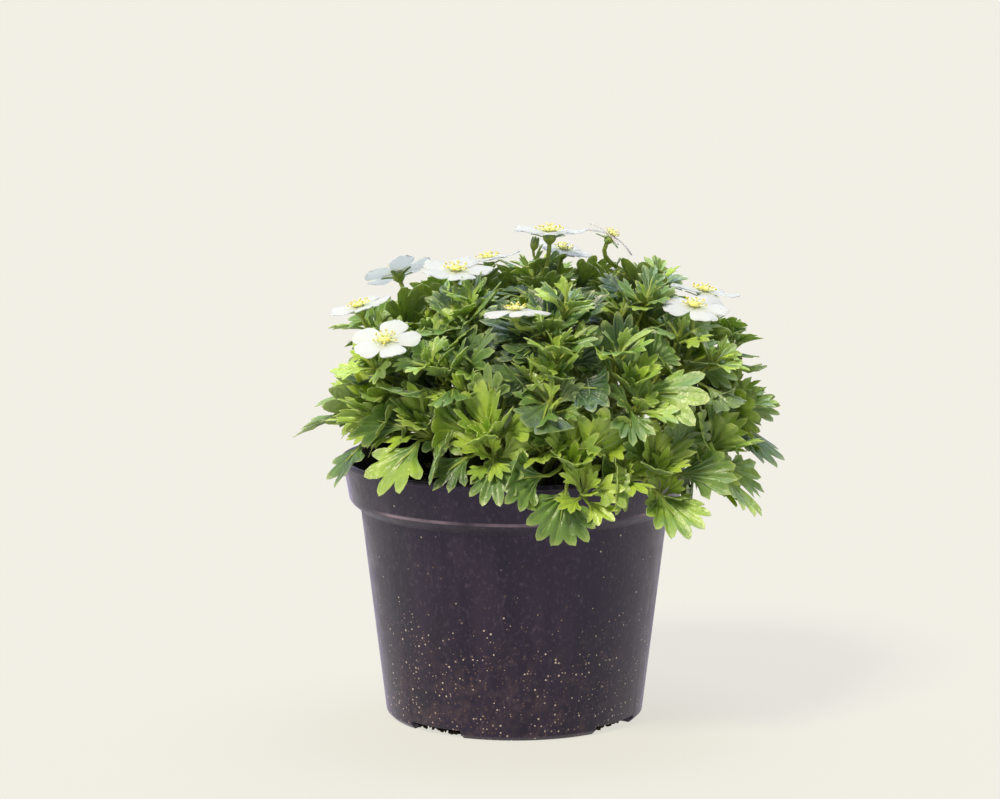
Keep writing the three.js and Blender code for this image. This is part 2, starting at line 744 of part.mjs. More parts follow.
// Each flower stands on the nearest shoot that carries none yet
function flowersByShoot(places) {
  const carried = new Map();
  for (const bloom of BLOOMS) {
    const at = new THREE.Vector3(...bloom.at);
    const far = (p) => at.distanceTo(p.tip.clone().addScaledVector(p.axis, 12));
    const free = places.filter((p) => !carried.has(p));
    carried.set(free.reduce((a, b) => (far(a) <= far(b) ? a : b)), bloom);
  }
  return carried;
}

function buildPlant() {
  const plant = new THREE.Group();
  const number = (k) => String(k + 1).padStart(2, "0");
  const places = shootPlaces();
  const carried = flowersByShoot(places);
  plant.add(meshOf("pot", pot(), PLASTIC));
  plant.add(meshOf("compost", soil(places.map((p) => p.foot)), COMPOST));
  places.forEach((place, n) => {
    plant.add(meshOf("leafy_shoot_" + number(n), shootSolid(place, carried.get(place)), LEAF));
  });
  BLOOMS.forEach((bloom, k) => {
    plant.add(meshOf("petals_" + number(k), petalsSolid(bloom), PETAL));
    plant.add(meshOf("stamens_" + number(k), stamensSolid(bloom), STAMEN));
  });
  return plant;
}

export default buildPlant();
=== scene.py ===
import math
from collections import namedtuple

import bmesh
import bpy
import numpy as np
from mathutils import Matrix, Vector


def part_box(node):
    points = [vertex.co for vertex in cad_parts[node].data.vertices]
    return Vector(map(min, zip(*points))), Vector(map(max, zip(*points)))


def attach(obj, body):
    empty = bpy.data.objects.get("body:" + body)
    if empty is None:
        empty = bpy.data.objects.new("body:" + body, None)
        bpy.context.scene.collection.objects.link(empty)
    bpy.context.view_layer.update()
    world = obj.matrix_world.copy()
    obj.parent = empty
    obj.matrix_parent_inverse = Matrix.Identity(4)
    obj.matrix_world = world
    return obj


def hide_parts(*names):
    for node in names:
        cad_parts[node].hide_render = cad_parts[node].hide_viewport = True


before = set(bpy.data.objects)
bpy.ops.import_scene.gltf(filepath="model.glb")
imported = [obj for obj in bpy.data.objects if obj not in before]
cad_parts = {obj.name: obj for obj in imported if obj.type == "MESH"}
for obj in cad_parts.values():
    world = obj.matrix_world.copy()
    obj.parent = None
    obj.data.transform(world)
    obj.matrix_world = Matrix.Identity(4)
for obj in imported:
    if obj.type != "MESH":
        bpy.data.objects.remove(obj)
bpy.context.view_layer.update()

bl_info = {
    "name": "Potted Mossy Saxifrage",
    "version": (1, 0, 0),
    "blender": (4, 5, 0),
    "location": "3D View > Sidebar > Saxifrage",
    "description": "Models a mossy saxifrage in flower in its nursery pot",
    "category": "Add Mesh",
}

MM = 0.001

# The pot, read from its solid where the solid says it
POT_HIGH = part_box("pot")[1]
POT_HEIGHT = POT_HIGH.z / MM
RIM_RADIUS = POT_HIGH.x / MM
BAND_FOOT = POT_HEIGHT - 13.5
BAND_FOOT_RADIUS = 57.2
BAND_CHAMFER = (0.8, 1.2)
SHOULDER_FOOT = BAND_FOOT - 3.8
WALL_TOP_RADIUS = 53.2
FOOT_RADIUS = 44.6
FOOT_ROUND = 1.6
LIP_HEIGHT = 1.6
LIP_OUT = 0.8
LIP_CHAMFER = 0.3
WALL = 1.2
# How far the wall's inside widens at once over the floor
INNER_FLARE = 0.6
NOTCH_COUNT = 4
NOTCHES = [math.radians(-128) + k * math.tau / NOTCH_COUNT for k in range(NOTCH_COUNT)]
NOTCH_WIDTH = 21
NOTCH_HEIGHT = 2.8
NOTCH_INNER_RADIUS = 36
DRAIN_WIDTH = 11
DRAIN_LENGTH = 5
DRAIN_INSET = 0.8
# A moulding's corners, which are rounded, and the creases that still show as sharp
CORNER_ANGLE = math.radians(28)
CREASE_ANGLE = math.radians(40)
MERGE_DISTANCE = 1e-6

# The compost, just clear of the wall
SOIL_LEVEL = 80
COMPOST_GAP = 0.35
TOP_RINGS = 26

# The cushion: the shoots' tips lie on a dome round its middle
CUSHION = np.array([12.0, 0.0, 94.0])
CUSHION_RADII = np.array([60.5, 61.0, 52.0])
# A dome of squareness 1 is an ellipsoid, and a lower one has fuller shoulders
SQUARENESS = 0.82
AIM_DEPTH = 36
# Rings of shoots from the top: count, angle from the top and how much more of it the
# front has, first azimuth, leaf size and how far from the middle the stems root
RINGS = [
    (1, 4, 0, 200, 0.9, 0),
    (6, 31, 3, 28, 0.95, 10),
    (11, 55, 8, 6, 1.0, 20),
    (14, 78, 16, -3, 1.1, 31),
]
AZIMUTH_JITTER = 4.5
POLAR_JITTER = 3.5
NEIGHBOUR_REACH = 75

# Shoots and their leaves
STEM_RADIUS = 1.4
STEM_SIDES = 5
ROOT_DEPTH = 4
PETIOLE = 6
BLADE = 20
MOST_BLADE = 23
# What the leaves of one whorl have in common: between which heights over the tip they
# spring, the number and the turn of the first, their size, the share of the leaf stalk
# they have, their lean at its foot and at the blade's tip, how much more both lean under
# a flower, their share of the bow, and how far both ends rise for each degree of fold
Whorl = namedtuple(
    "Whorl", "levels first turn size petiole start end opened bow start_fold end_fold")
BROAD_WHORL = Whorl((-5.4, -3.2), 0, 0.5, 1, 1, 56, 98, 0, 1, 0.3, 1)
YOUNG_WHORL = Whorl((-2.0, 0.0), 5, 1, 0.74, 0.55, 24, 60, 12, 0.4, 0.15, 0.6)
# How many older leaves a shoot of each ring has down its stem, and how many side sprigs
OLD_LEAVES = (3, 4, 5, 8)
SPRIGS = (3, 4, 4, 3)
# A sprig's leaves from the lowest up: blade, leaf stalk, lean at the start and at the end
SPRIG_LEAVES = [(11, 4, 38, 80)] * 5 + [(7.5, 3, 14, 34)] * 2
# Where a shoot starts to count its older leaves, sprigs, heart leaves and bracts
OLD_LEAF_SEED = 400
SPRIG_SEED = 700
HEART_SEED = 900
BRACT_SEED = 980
# A shoot's leaves fold up, by this most in degrees, until they overstep by less than this
MOST_FOLD = 28
MOST_OVER = 2
LEAF_CUP = 0.16
LEAF_CLEARANCE = 0.4
LEAF_STALK_HALF = 0.62
RIB_END = 0.5
HAIR_LENGTH = 0.9
# How much further a leaf bows, in degrees, that springs from a stem's lowest side
DROOP = 24
# Points are bent back smoothly over this far from a limit, and this many times
BEND_BAND = 4
BEND_PASSES = 5
RIM_CLEARANCE = 1.8
RIM_LIFT = 8
TIP_CLEARANCE = 7
DRAPE = 1.8

# Flowers: middle, the way it faces, size and wear, where 1 is a spent flower
BLOOMS = [
    ((12, -2, 168), (0.02, 0.02, 1), 1.1, 0),
    ((17, 16, 160), (0.2, -0.1, 0.97), 0.85, 0.1),
    ((33, -2, 167), (0.5, -0.1, 0.86), 0.8, 1),
    ((-20, -8, 155.5), (0, -0.2, 0.98), 1.05, 0),
    ((-9, 22, 156), (-0.15, 0.1, 0.98), 0.95, 0),
    ((-43, -42, 136), (-0.1, -0.42, 0.9), 1, 0),
    ((-53, -8, 143), (-0.25, -0.05, 0.95), 0.95, 0),
    ((-41, 27, 151), (-0.3, 0.4, 0.88), 1.05, 0),
    ((0, -50, 147), (-0.05, 0.05, 1), 0.98, 0.35),
    ((60, -30, 146), (0.1, -0.25, 0.95), 1, 0.2),
    ((65, 2, 147), (0.15, 0.05, 0.98), 1.05, 0),
    ((-10, 52, 143), (-0.1, 0.45, 0.88), 1, 0),
    ((44, 44, 145), (0.2, 0.4, 0.88), 1, 0),
]
SEPALS = 5
# A petal that has dropped: its flower's number in the list above, its own, and how far
DROPPED_PETAL = (10, 4)
PETAL_DROP = 0.75
# The angle from one leaf to the next up a stem
GOLDEN = math.radians(137.5)

# What the camera looks at, in millimetres from the pot's axis and from its rim
AIM_LEFT = -5.0
AIM_ABOVE_RIM = 19.7


# Colours and nodes
def linear(hex_code):
    """The linear colour, with alpha, of an sRGB hex code"""
    def channel(text):
        value = int(text, 16) / 255
        return value / 12.92 if value <= 0.04045 else ((value + 0.055) / 1.055) ** 2.4
    code = hex_code.lstrip("#")
    return tuple(channel(code[k:k + 2]) for k in (0, 2, 4)) + (1.0,)


def add_node(tree, kind, inputs=None, **settings):
    """Adds a node with its settings. An input is a value, or another node's output"""
    node = tree.nodes.new(kind)
    for name, value in settings.items():
        setattr(node, name, value)
    for key, value in (inputs or {}).items():
        if isinstance(value, bpy.types.NodeSocket):
            tree.links.new(value, node.inputs[key])
        else:
            node.inputs[key].default_value = value
    return node


class Nodes:
    """A tree of nodes. Each method adds to it and gives the new node's output"""

    def __init__(self, tree):
        self.tree = tree
        tree.nodes.clear()

    def mix(self, share, first, second):
        """The first colour going over to the second as the share goes from 0 to 1"""
        inputs = {0: share, 6: first, 7: second}
        return add_node(self.tree, "ShaderNodeMix", inputs, data_type="RGBA").outputs[2]

    def math(self, operation, first, second=0.0):
        inputs = {0: first, 1: second}
        return add_node(self.tree, "ShaderNodeMath", inputs, operation=operation).outputs[0]

    def add(self, first, second):
        return self.math("ADD", first, second)

    def times(self, first, second):
        return self.math("MULTIPLY", first, second)

    def between(self, value, low, high, to_low=0.0, to_high=1.0):
        """The value taken smoothly from one range to another and held at its ends"""
        inputs = {
            "Value": value, "From Min": low, "From Max": high, "To Min": to_low, "To Max": to_high,
        }
        node = add_node(self.tree, "ShaderNodeMapRange", inputs, interpolation_type="SMOOTHSTEP")
        return node.outputs["Result"]

    def attribute(self, name):
        return add_node(self.tree, "ShaderNodeAttribute", attribute_name=name).outputs["Fac"]

    def place(self, kind="Object"):
        return add_node(self.tree, "ShaderNodeTexCoord").outputs[kind]

    def parts(self, vector):
        return add_node(self.tree, "ShaderNodeSeparateXYZ", {0: vector}).outputs

    def speckle(self, scale_mm, detail=3.0, roughness=0.55, stretch=(1, 1, 1)):
        """Noise whose features are about this size on the object"""
        mapping = add_node(
            self.tree, "ShaderNodeMapping", {"Vector": self.place(), "Scale": stretch})
        inputs = {
            "Vector": mapping.outputs["Vector"],
            "Scale": 1 / (scale_mm * MM),
            "Detail": detail,
            "Roughness": roughness,
        }
        return add_node(self.tree, "ShaderNodeTexNoise", inputs).outputs["Fac"]

    def bump(self, height, strength, depth_mm):
        inputs = {"Height": height, "Strength": strength, "Distance": depth_mm * MM}
        return add_node(self.tree, "ShaderNodeBump", inputs).outputs["Normal"]


class Material(Nodes):
    """A new material, made up of its nodes"""

    def __init__(self, name):
        self.material = bpy.data.materials.new(name)
        self.material.use_nodes = True
        super().__init__(self.material.node_tree)

    def principled(self, inputs):
        return add_node(self.tree, "ShaderNodeBsdfPrincipled", inputs).outputs[0]

    def finish(self, shader):
        add_node(self.tree, "ShaderNodeOutputMaterial", {"Surface": shader})
        return self.material


# Shapes that are bent into place many times over
class Shape:
    """A small mesh made once, and where each of its vertices lies on it"""

    def __init__(self, bm):
        self.mesh = bpy.data.meshes.new("shape")
        bmesh.ops.recalc_face_normals(bm, faces=bm.faces[:])
        for face in bm.faces:
            face.smooth = True
        bm.to_mesh(self.mesh)
        bm.free()
        self.place = np.array([vertex.co for vertex in self.mesh.vertices])
        self.faces = len(self.mesh.polygons)


class Sheet(Shape):
    """A thin closed sheet: a grid of rows along X and columns along Y, with two faces"""

    def __init__(self, rows, columns):
        bm = bmesh.new()
        bmesh.ops.create_grid(bm, x_segments=rows, y_segments=columns, size=0.5)
        bmesh.ops.solidify(bm, geom=bm.faces[:], thickness=0.1)
        bm.normal_update()
        for edge in bm.edges:
            edge.smooth = edge.calc_face_angle(0) < 1
        super().__init__(bm)
        height = self.place[:, 2]
        self.row = np.rint((self.place[:, 0] + 0.5) * rows).astype(int)
        self.column = np.rint((self.place[:, 1] + 0.5) * columns).astype(int)
        self.upper = height > (height.min() + height.max()) / 2
        self.rows = rows
        self.columns = columns

    def laid(self, middle, thickness):
        """Its vertices on both sides of a curved surface, given as rows of points"""
        normal = np.cross(np.gradient(middle, axis=0), np.gradient(middle, axis=1))
        normal /= np.linalg.norm(normal, axis=2, keepdims=True) + 1e-9
        side = np.where(self.upper, 0.5, -0.5)[:, None]
        depth = np.broadcast_to(thickness, middle.shape[:2])[self.row, self.column][:, None]
        return middle[self.row, self.column] + normal[self.row, self.column] * side * depth


class Tube(Shape):
    """A closed tube along Z, with even steps between its ends"""

    def __init__(self, sides, steps):
        bm = bmesh.new()
        bmesh.ops.create_cone(bm, cap_ends=True, segments=sides, radius1=1, radius2=1, depth=1)
        upright = [e for e in bm.edges if abs(e.verts[0].co.z - e.verts[1].co.z) > 0.5]
        bmesh.ops.subdivide_edges(bm, edges=upright, cuts=steps - 1, use_grid_fill=True)
        super().__init__(bm)
        self.step = np.rint((self.place[:, 2] + 0.5) * steps).astype(int)
        self.angle = np.arctan2(self.place[:, 1], self.place[:, 0])
        self.steps = steps

    def drawn(self, path, widths, heights=None, side=None):
        """Its vertices round a path, with half a width and half a height at each step"""
        way = np.gradient(path, axis=0)
        way /= np.linalg.norm(way, axis=1, keepdims=True)
        if side is None:
            side = np.array([1.0, 0.0, 0.0]) if abs(way[0][0]) < 0.8 else np.array([0.0, 1.0, 0.0])
        sides = []
        for direction in way:
            side = side - direction * side.dot(direction)
            side = side / np.linalg.norm(side)
            sides.append(side)
        sides = np.array(sides)
        ups = np.cross(way, sides)
        widths = np.broadcast_to(widths, len(path))
        heights = widths if heights is None else np.broadcast_to(heights, len(path))
        n = self.step
        across = sides[n] * (widths[n] * np.cos(self.angle))[:, None]
        upwards = ups[n] * (heights[n] * np.sin(self.angle))[:, None]
        return path[n] + across + upwards


class Knob(Shape):
    """A small rounded lump"""

    def __init__(self, fineness):
        bm = bmesh.new()
        bmesh.ops.create_icosphere(bm, subdivisions=fineness, radius=1)
        super().__init__(bm)


class Spike(Shape):
    """A hair: a three-sided cone along Z"""

    def __init__(self):
        bm = bmesh.new()
        bmesh.ops.create_cone(bm, cap_ends=True, segments=3, radius1=1, radius2=0, depth=1)
        super().__init__(bm)


class Piece:
    """One finished piece, put together from bent copies of shapes"""

    LOOKS = ("lobe", "reach", "tint", "under")

    def __init__(self, name, materials):
        self.name = name
        self.materials = materials
        self.bm = bmesh.new()
        self.points = []
        self.material_numbers = []
        self.looks = {look: [] for look in self.LOOKS}

    def add(self, shape, points, material=0, **looks):
        self.bm.from_mesh(shape.mesh)
        self.points.append(points)
        self.material_numbers.append(np.full(shape.faces, material))
        for look in self.LOOKS:
            self.looks[look].append(np.broadcast_to(looks.get(look, 0.0), len(points)))

    def draw(self, tube, path, widths, material=0, **looks):
        """Adds a tube along a path"""
        self.add(tube, tube.drawn(path, widths), material, **looks)

    def finish(self, slot, *nodes):
        piece = new_object(self.name, self.bm, *self.materials)
        mesh = piece.data
        mesh.vertices.foreach_set("co", np.concatenate(self.points).ravel() * MM)
        mesh.polygons.foreach_set("material_index", np.concatenate(self.material_numbers))
        for look, values in self.looks.items():
            layer = mesh.attributes.new(look, "FLOAT", "POINT")
            layer.data.foreach_set("value", np.concatenate(values))
        mesh.update()
        stand_for(piece, slot, *nodes)


def in_scene(name, data):
    """Puts a mesh, a light or a camera in the scene"""
    made = bpy.data.objects.new(name, data)
    bpy.context.scene.collection.objects.link(made)
    return made


def new_object(name, bm, *materials):
    """Turns a bmesh into an object in the scene"""
    mesh = bpy.data.meshes.new(name)
    bm.to_mesh(mesh)
    bm.free()
    for material in materials:
        mesh.materials.append(material)
    return in_scene(name, mesh)


def stand_for(piece, slot, *nodes):
    """Makes an object the finished piece that stands for its solids"""
    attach(piece, "root")
    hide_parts(*nodes)


# Rules that the plant grows by
def scatter(i, j):
    """A number from 0 to 1 that is always the same for the same pair"""
    wave = math.sin(i * 127.1 + j * 311.7) * 43758.5453
    return wave - math.floor(wave)


def spread(i, j, reach):
    return (scatter(i, j) * 2 - 1) * reach


def unit(vector):
    return vector / np.linalg.norm(vector)


def squared(side, way):
    """The direction nearest to a side that lies square to a way"""
    return unit(side - way * side.dot(way))


def side_of(way):
    return unit(np.cross(way, [0.3, 0.5, 0.8]))


def round_about(way, side, angle):
    """The direction an angle round a way from its side"""
    return side * math.cos(angle) + np.cross(way, side) * math.sin(angle)


def bezier(a, b, c, d, shares):
    t = np.asarray(shares, dtype=float)[:, None]
    s = 1 - t
    return s ** 3 * a + 3 * s * s * t * b + 3 * s * t * t * c + t ** 3 * d


def eased(inside, clearance):
    """How far inside a limit a point is kept: the further in, the less it is moved"""
    spare = inside - clearance - BEND_BAND
    kept = clearance + BEND_BAND * np.exp(np.minimum(spare, 0) / BEND_BAND)
    return np.where(spare >= 0, inside, kept)


def lift_over_rim(points, clearance):
    """Lifts points that would touch the pot's rim over it"""
    past = np.hypot(points[..., 0], points[..., 1]) - RIM_RADIUS - RIM_CLEARANCE
    lowest = POT_HEIGHT + RIM_CLEARANCE + np.minimum(-DRAPE * past, RIM_LIFT)
    points[..., 2] = lowest + eased(points[..., 2] - lowest, clearance)


def soil_height(x, y):
    out = np.hypot(x, y) / RIM_RADIUS
    crumbs = 0.7 * np.sin(0.42 * x + 0.9) * np.cos(0.37 * y) + 0.5 * np.sin(0.21 * x - 0.5 * y)
    return SOIL_LEVEL + crumbs + 1.8 * (1 - out * out)


class Shoot:
    """A leafy shoot: where its tip is, which way it grows and how far its room goes"""

    def __init__(self, number, ring, azimuth, polar, leaf, foot):
        level = math.sin(polar) ** SQUARENESS
        rise = math.copysign(abs(math.cos(polar)) ** SQUARENESS, math.cos(polar))
        out = np.array([level * math.cos(azimuth), level * math.sin(azimuth), rise])
        self.number = number
        self.ring = ring
        self.tip = out * CUSHION_RADII + CUSHION
        lift_over_rim(self.tip, TIP_CLEARANCE)
        self.axis = unit(self.tip - CUSHION + np.array([0, 0, AIM_DEPTH]))
        self.foot = np.array([
            CUSHION[0] * 0.5 + foot * math.cos(azimuth),
            foot * math.sin(azimuth),
            SOIL_LEVEL - ROOT_DEPTH,
        ])
        self.leaf = leaf * (1 + spread(number, 3, 0.07))
        self.bloom = None
        self.fold = 0

    def seed(self, number):
        """The number that one of its leaves or sprigs is scattered by"""
        return self.number * 31 + number

    def find_room(self, shoots):
        """Its room ends halfway to each of its neighbours"""
        normals = []
        reaches = []
        for other in shoots:
            way = other.tip - self.tip
            far = np.linalg.norm(way)
            if 0 < far <= NEIGHBOUR_REACH:
                normals.append(way / far)
                reaches.append(way.dot(self.tip) / far + far / 2)
        self.normals = np.array(normals)
        self.reaches = np.array(reaches)

    def overstep(self, point):
        return (self.normals @ point - self.reaches).max()

    def bent_clear(self, points, clearance, slack):
        """Bends points back into the room and a slack beyond it, clear of the pot's rim"""
        points = points.copy()
        for _ in range(BEND_PASSES):
            lift_over_rim(points, clearance)
            for normal, reach in zip(self.normals, self.reaches):
                inside = reach + slack - points @ normal
                points += (inside - eased(inside, clearance))[..., None] * normal
        lift_over_rim(points, clearance)
        return points

    def stem(self):
        """The stem's middle: its bend from the compost to the lower whorl"""
        neck = self.tip + self.axis * BROAD_WHORL.levels[0]
        ground = np.array([self.foot[0], self.foot[1], SOIL_LEVEL + 2.5])
        tall = np.linalg.norm(neck - ground)
        arch = neck - self.axis * tall * 0.35
        lift_over_rim(arch, TIP_CLEARANCE)
        rise = np.array([0, 0, tall * 0.3])
        return lambda shares: bezier(ground, ground + rise, arch, neck, shares)

    def turn_to_face(self):
        """Finds the two directions across the stem that its leaves are counted from"""
        heading = math.radians(360 * scatter(self.number, 7))
        side = np.array([math.cos(heading), math.sin(heading), 0])
        low, middle, high = self.stem()([0, 1 / 3, 2 / 3])
        ways = [np.array([0, 0, 1.0]), middle - low, high - low, high - middle, self.axis]
        for way in ways:
            side = squared(side, unit(way))
        self.side = side
        self.up = np.cross(self.axis, side)

    def outward(self, angle):
        return self.side * math.cos(angle) + self.up * math.sin(angle)

    def choose_fold(self):
        """The tighter its room, the more its leaves fold up"""
        base = self.tip + self.axis * BROAD_WHORL.levels[0]
        over = math.inf
        self.fold = 0
        while over > MOST_OVER and self.fold < MOST_FOLD:
            self.fold += 4
            over = 0
            for k in range(STEM_SIDES):
                out = self.outward((k + 0.5) / STEM_SIDES * math.tau)
                leaf = whorl_leaf(self, base, out, BROAD_WHORL, k)
                tip = leaf.at(np.array([leaf.length]), 0.0, 0.0)[0]
                over += max(0, self.overstep(tip)) / STEM_SIDES


def grow_shoots():
    shoots = []
    for ring, (count, polar, sag, turn, leaf, foot) in enumerate(RINGS):
        for k in range(count):
            number = len(shoots)
            azimuth = math.radians(turn + k * 360 / count + spread(number, 1, AZIMUTH_JITTER))
            lean = polar + sag * max(0, -math.sin(azimuth)) + spread(number, 2, POLAR_JITTER)
            shoots.append(Shoot(number, ring, azimuth, math.radians(lean), leaf, foot))
    # Each flower goes to the shoot whose tip points to it from nearest by
    for bloom in all_blooms():
        free = [shoot for shoot in shoots if shoot.bloom is None]
        far = [np.linalg.norm(bloom.middle - shoot.tip - shoot.axis * 12) for shoot in free]
        free[int(np.argmin(far))].bloom = bloom
    for shoot in shoots:
        shoot.find_room(shoots)
        shoot.turn_to_face()
        shoot.choose_fold()
    return shoots


# Leaves
class Leaf:
    """A leaf that springs from a stem and arches: its lean goes from start to end"""

    def __init__(self, base, axis, out, petiole, blade, start, end):
        self.base = base
        self.axis = axis
        self.out = out
        self.across = np.cross(axis, out)
        self.petiole = petiole
        self.blade = blade
        self.length = petiole + blade
        self.start = math.radians(start)
        self.curl = (math.radians(end) - self.start) / self.length

    def at(self, s, y, z):
        """Points s along the leaf, y to its left and z above its face"""
        s, y, z = np.broadcast_arrays(s, y, z)
        lean = self.start + self.curl * s
        rise = (np.sin(lean) - math.sin(self.start)) / self.curl
        reach = (math.cos(self.start) - np.cos(lean)) / self.curl
        return (
            self.base
            + self.axis * (rise + z * np.sin(lean))[..., None]
            + self.out * (reach - z * np.cos(lean))[..., None]
            + self.across * y[..., None]
        )

    def varied(self, seed, leant, arched, lift, raised):
        """The same leaf, leant and arched by chance, its shoot turned up to the light"""
        axis = unit(self.axis + np.array([0, 0, lift]))
        out = squared(self.out, axis)
        start, end = self.leans()
        start = start + spread(seed, 32, leant)
        end = end + spread(seed, 33, arched) - raised
        stalked = scatter(seed, 36)
        blade = min(MOST_BLADE, self.blade * (1.06 - 0.32 * stalked + spread(seed, 34, 0.1)))
        petiole = self.petiole * (1 + 0.95 * stalked + spread(seed, 35, 0.15))
        return Leaf(self.base, axis, out, petiole, blade, start, end)

    def reaching(self, further):
        """The same leaf, a share longer"""
        grown = 1 + further
        blade = min(MOST_BLADE, self.blade * grown)
        return Leaf(self.base, self.axis, self.out, self.petiole * grown, blade, *self.leans())

    def leans(self):
        """Its lean at its start and at its end, in degrees"""
        return math.degrees(self.start), math.degrees(self.start + self.curl * self.length)

    def room(self, s):
        """How wide the leaf may be before it meets the next one of its whorl"""
        lean = self.start + self.curl * s
        return 0.95 * ((math.cos(self.start) - np.cos(lean)) / self.curl + STEM_RADIUS)


def whorl_leaf(shoot, base, out, whorl, number):
    """One of the ten leaves that every shoot's top has"""
    size = shoot.leaf * whorl.size * (1 + spread(shoot.number, 40 + number, 0.1))
    opened = whorl.opened if shoot.bloom else 0
    bow = -DROOP * out[2] * whorl.bow
    start = whorl.start + opened + bow * 0.4 + spread(shoot.number, 60 + number, 3)
    end = whorl.end + opened + bow + spread(shoot.number, 80 + number, 4)
    start -= shoot.fold * whorl.start_fold
    end -= shoot.fold * whorl.end_fold
    petiole = PETIOLE * size * whorl.petiole
    return Leaf(base, shoot.axis, out, petiole, BLADE * size, start, end)


class Cut:
    """How a blade is cut into lobes: for each lobe its angle, reach and half width, and
    for each notch its reach, in blade lengths from the fan's centre"""

    CENTRE = 0.24

    def __init__(self, angles, reaches, halves, notches, rows=4, point=(0.5, 0.62)):
        # The lists give the left half and the lobe in the middle
        angles = angles + [-angle for angle in angles[-2::-1]]
        reaches = reaches + reaches[-2::-1]
        halves = halves + halves[-2::-1]
        notches = notches + notches[::-1]
        points = []
        phases = []
        for k, (angle, reach, half) in enumerate(zip(angles, reaches, halves)):
            turn = math.radians(angle)
            way = np.array([math.cos(turn), math.sin(turn)])
            left = np.array([-way[1], way[0]])
            sides = [(1.5, 1), point, (0, 0), (point[0], -point[1]), (1.5, -1)]
            for back, aside in sides:
                points.append(way * (reach - back * half) + left * aside * half)
                phases.append(aside * 0.75)
            if k < len(notches):
                middle = math.radians((angle + angles[k + 1]) / 2)
                points.append(notches[k] * np.array([math.cos(middle), math.sin(middle)]))
                phases.append(1)
        # Left side last, so that columns run from right to left
        points = np.array(points[::-1]) * (1 - self.CENTRE)
        self.edge = points + np.array([self.CENTRE, 0])
        self.phase = np.abs(np.array(phases[::-1]))
        self.sheet = Sheet(rows, len(points) - 1)
        self.levels = np.linspace(0, 1, rows + 1) ** 0.85
        self.looks = {
            "lobe": self.phase[self.sheet.column],
            "reach": self.levels[self.sheet.row],
        }

    def flat(self, stalk_half):
        """The blade laid flat: x along and y to the left, in blade lengths"""
        share = np.linspace(-1, 1, len(self.edge))
        start = np.stack([np.zeros_like(share), share * stalk_half], axis=1)
        pull = np.stack([self.CENTRE * (0.75 + 0.25 * np.abs(share)), share * 0.1], axis=1)
        t = self.levels[:, None, None]
        return (1 - t) ** 2 * start + 2 * t * (1 - t) * pull + t ** 2 * self.edge


def blade_middle(leaf, cut, seed, channel, tip_drop):
    """The surface half way through a blade, as rows of points"""
    flat = cut.flat(LEAF_STALK_HALF / leaf.blade)
    x = flat[..., 0]
    y = flat[..., 1] + spread(seed, 11, 0.1) * x * x
    level = cut.levels[:, None]
    s = leaf.petiole + x * leaf.blade
    width = y * leaf.blade
    width = width / (1 + (np.abs(width) / leaf.room(s)) ** 4) ** 0.25
    # Cupped, tilted to a side and folded along its middle, each more or less by chance
    lift = LEAF_CUP * width * width / leaf.blade * (1 + spread(seed, 12, 0.8))
    lift = lift + width * spread(seed, 13, 0.3) + np.abs(width) * spread(seed, 16, 0.16)
    # Each lobe has a channel down it, and the tips curl down
    lift = lift - leaf.blade * channel * (1 - cut.phase[None, :]) * np.sin(level * 2.4)
    lift = lift - leaf.blade * tip_drop * level ** 3
    # The edge waves
    turn = np.arctan2(flat[..., 1], np.maximum(x, 0.05))
    lift = lift + leaf.blade * 0.05 * np.sin(3.7 * turn + 6 * scatter(seed, 14)) * level ** 2
    return leaf.at(s, width, lift)


def pick(cuts, seed):
    return cuts[int(scatter(seed, 5) * len(cuts))]


# Where the blade's and the stalk's materials stand in a shoot's list of them
BLADE_LOOK = 0
STALK_LOOK = 1


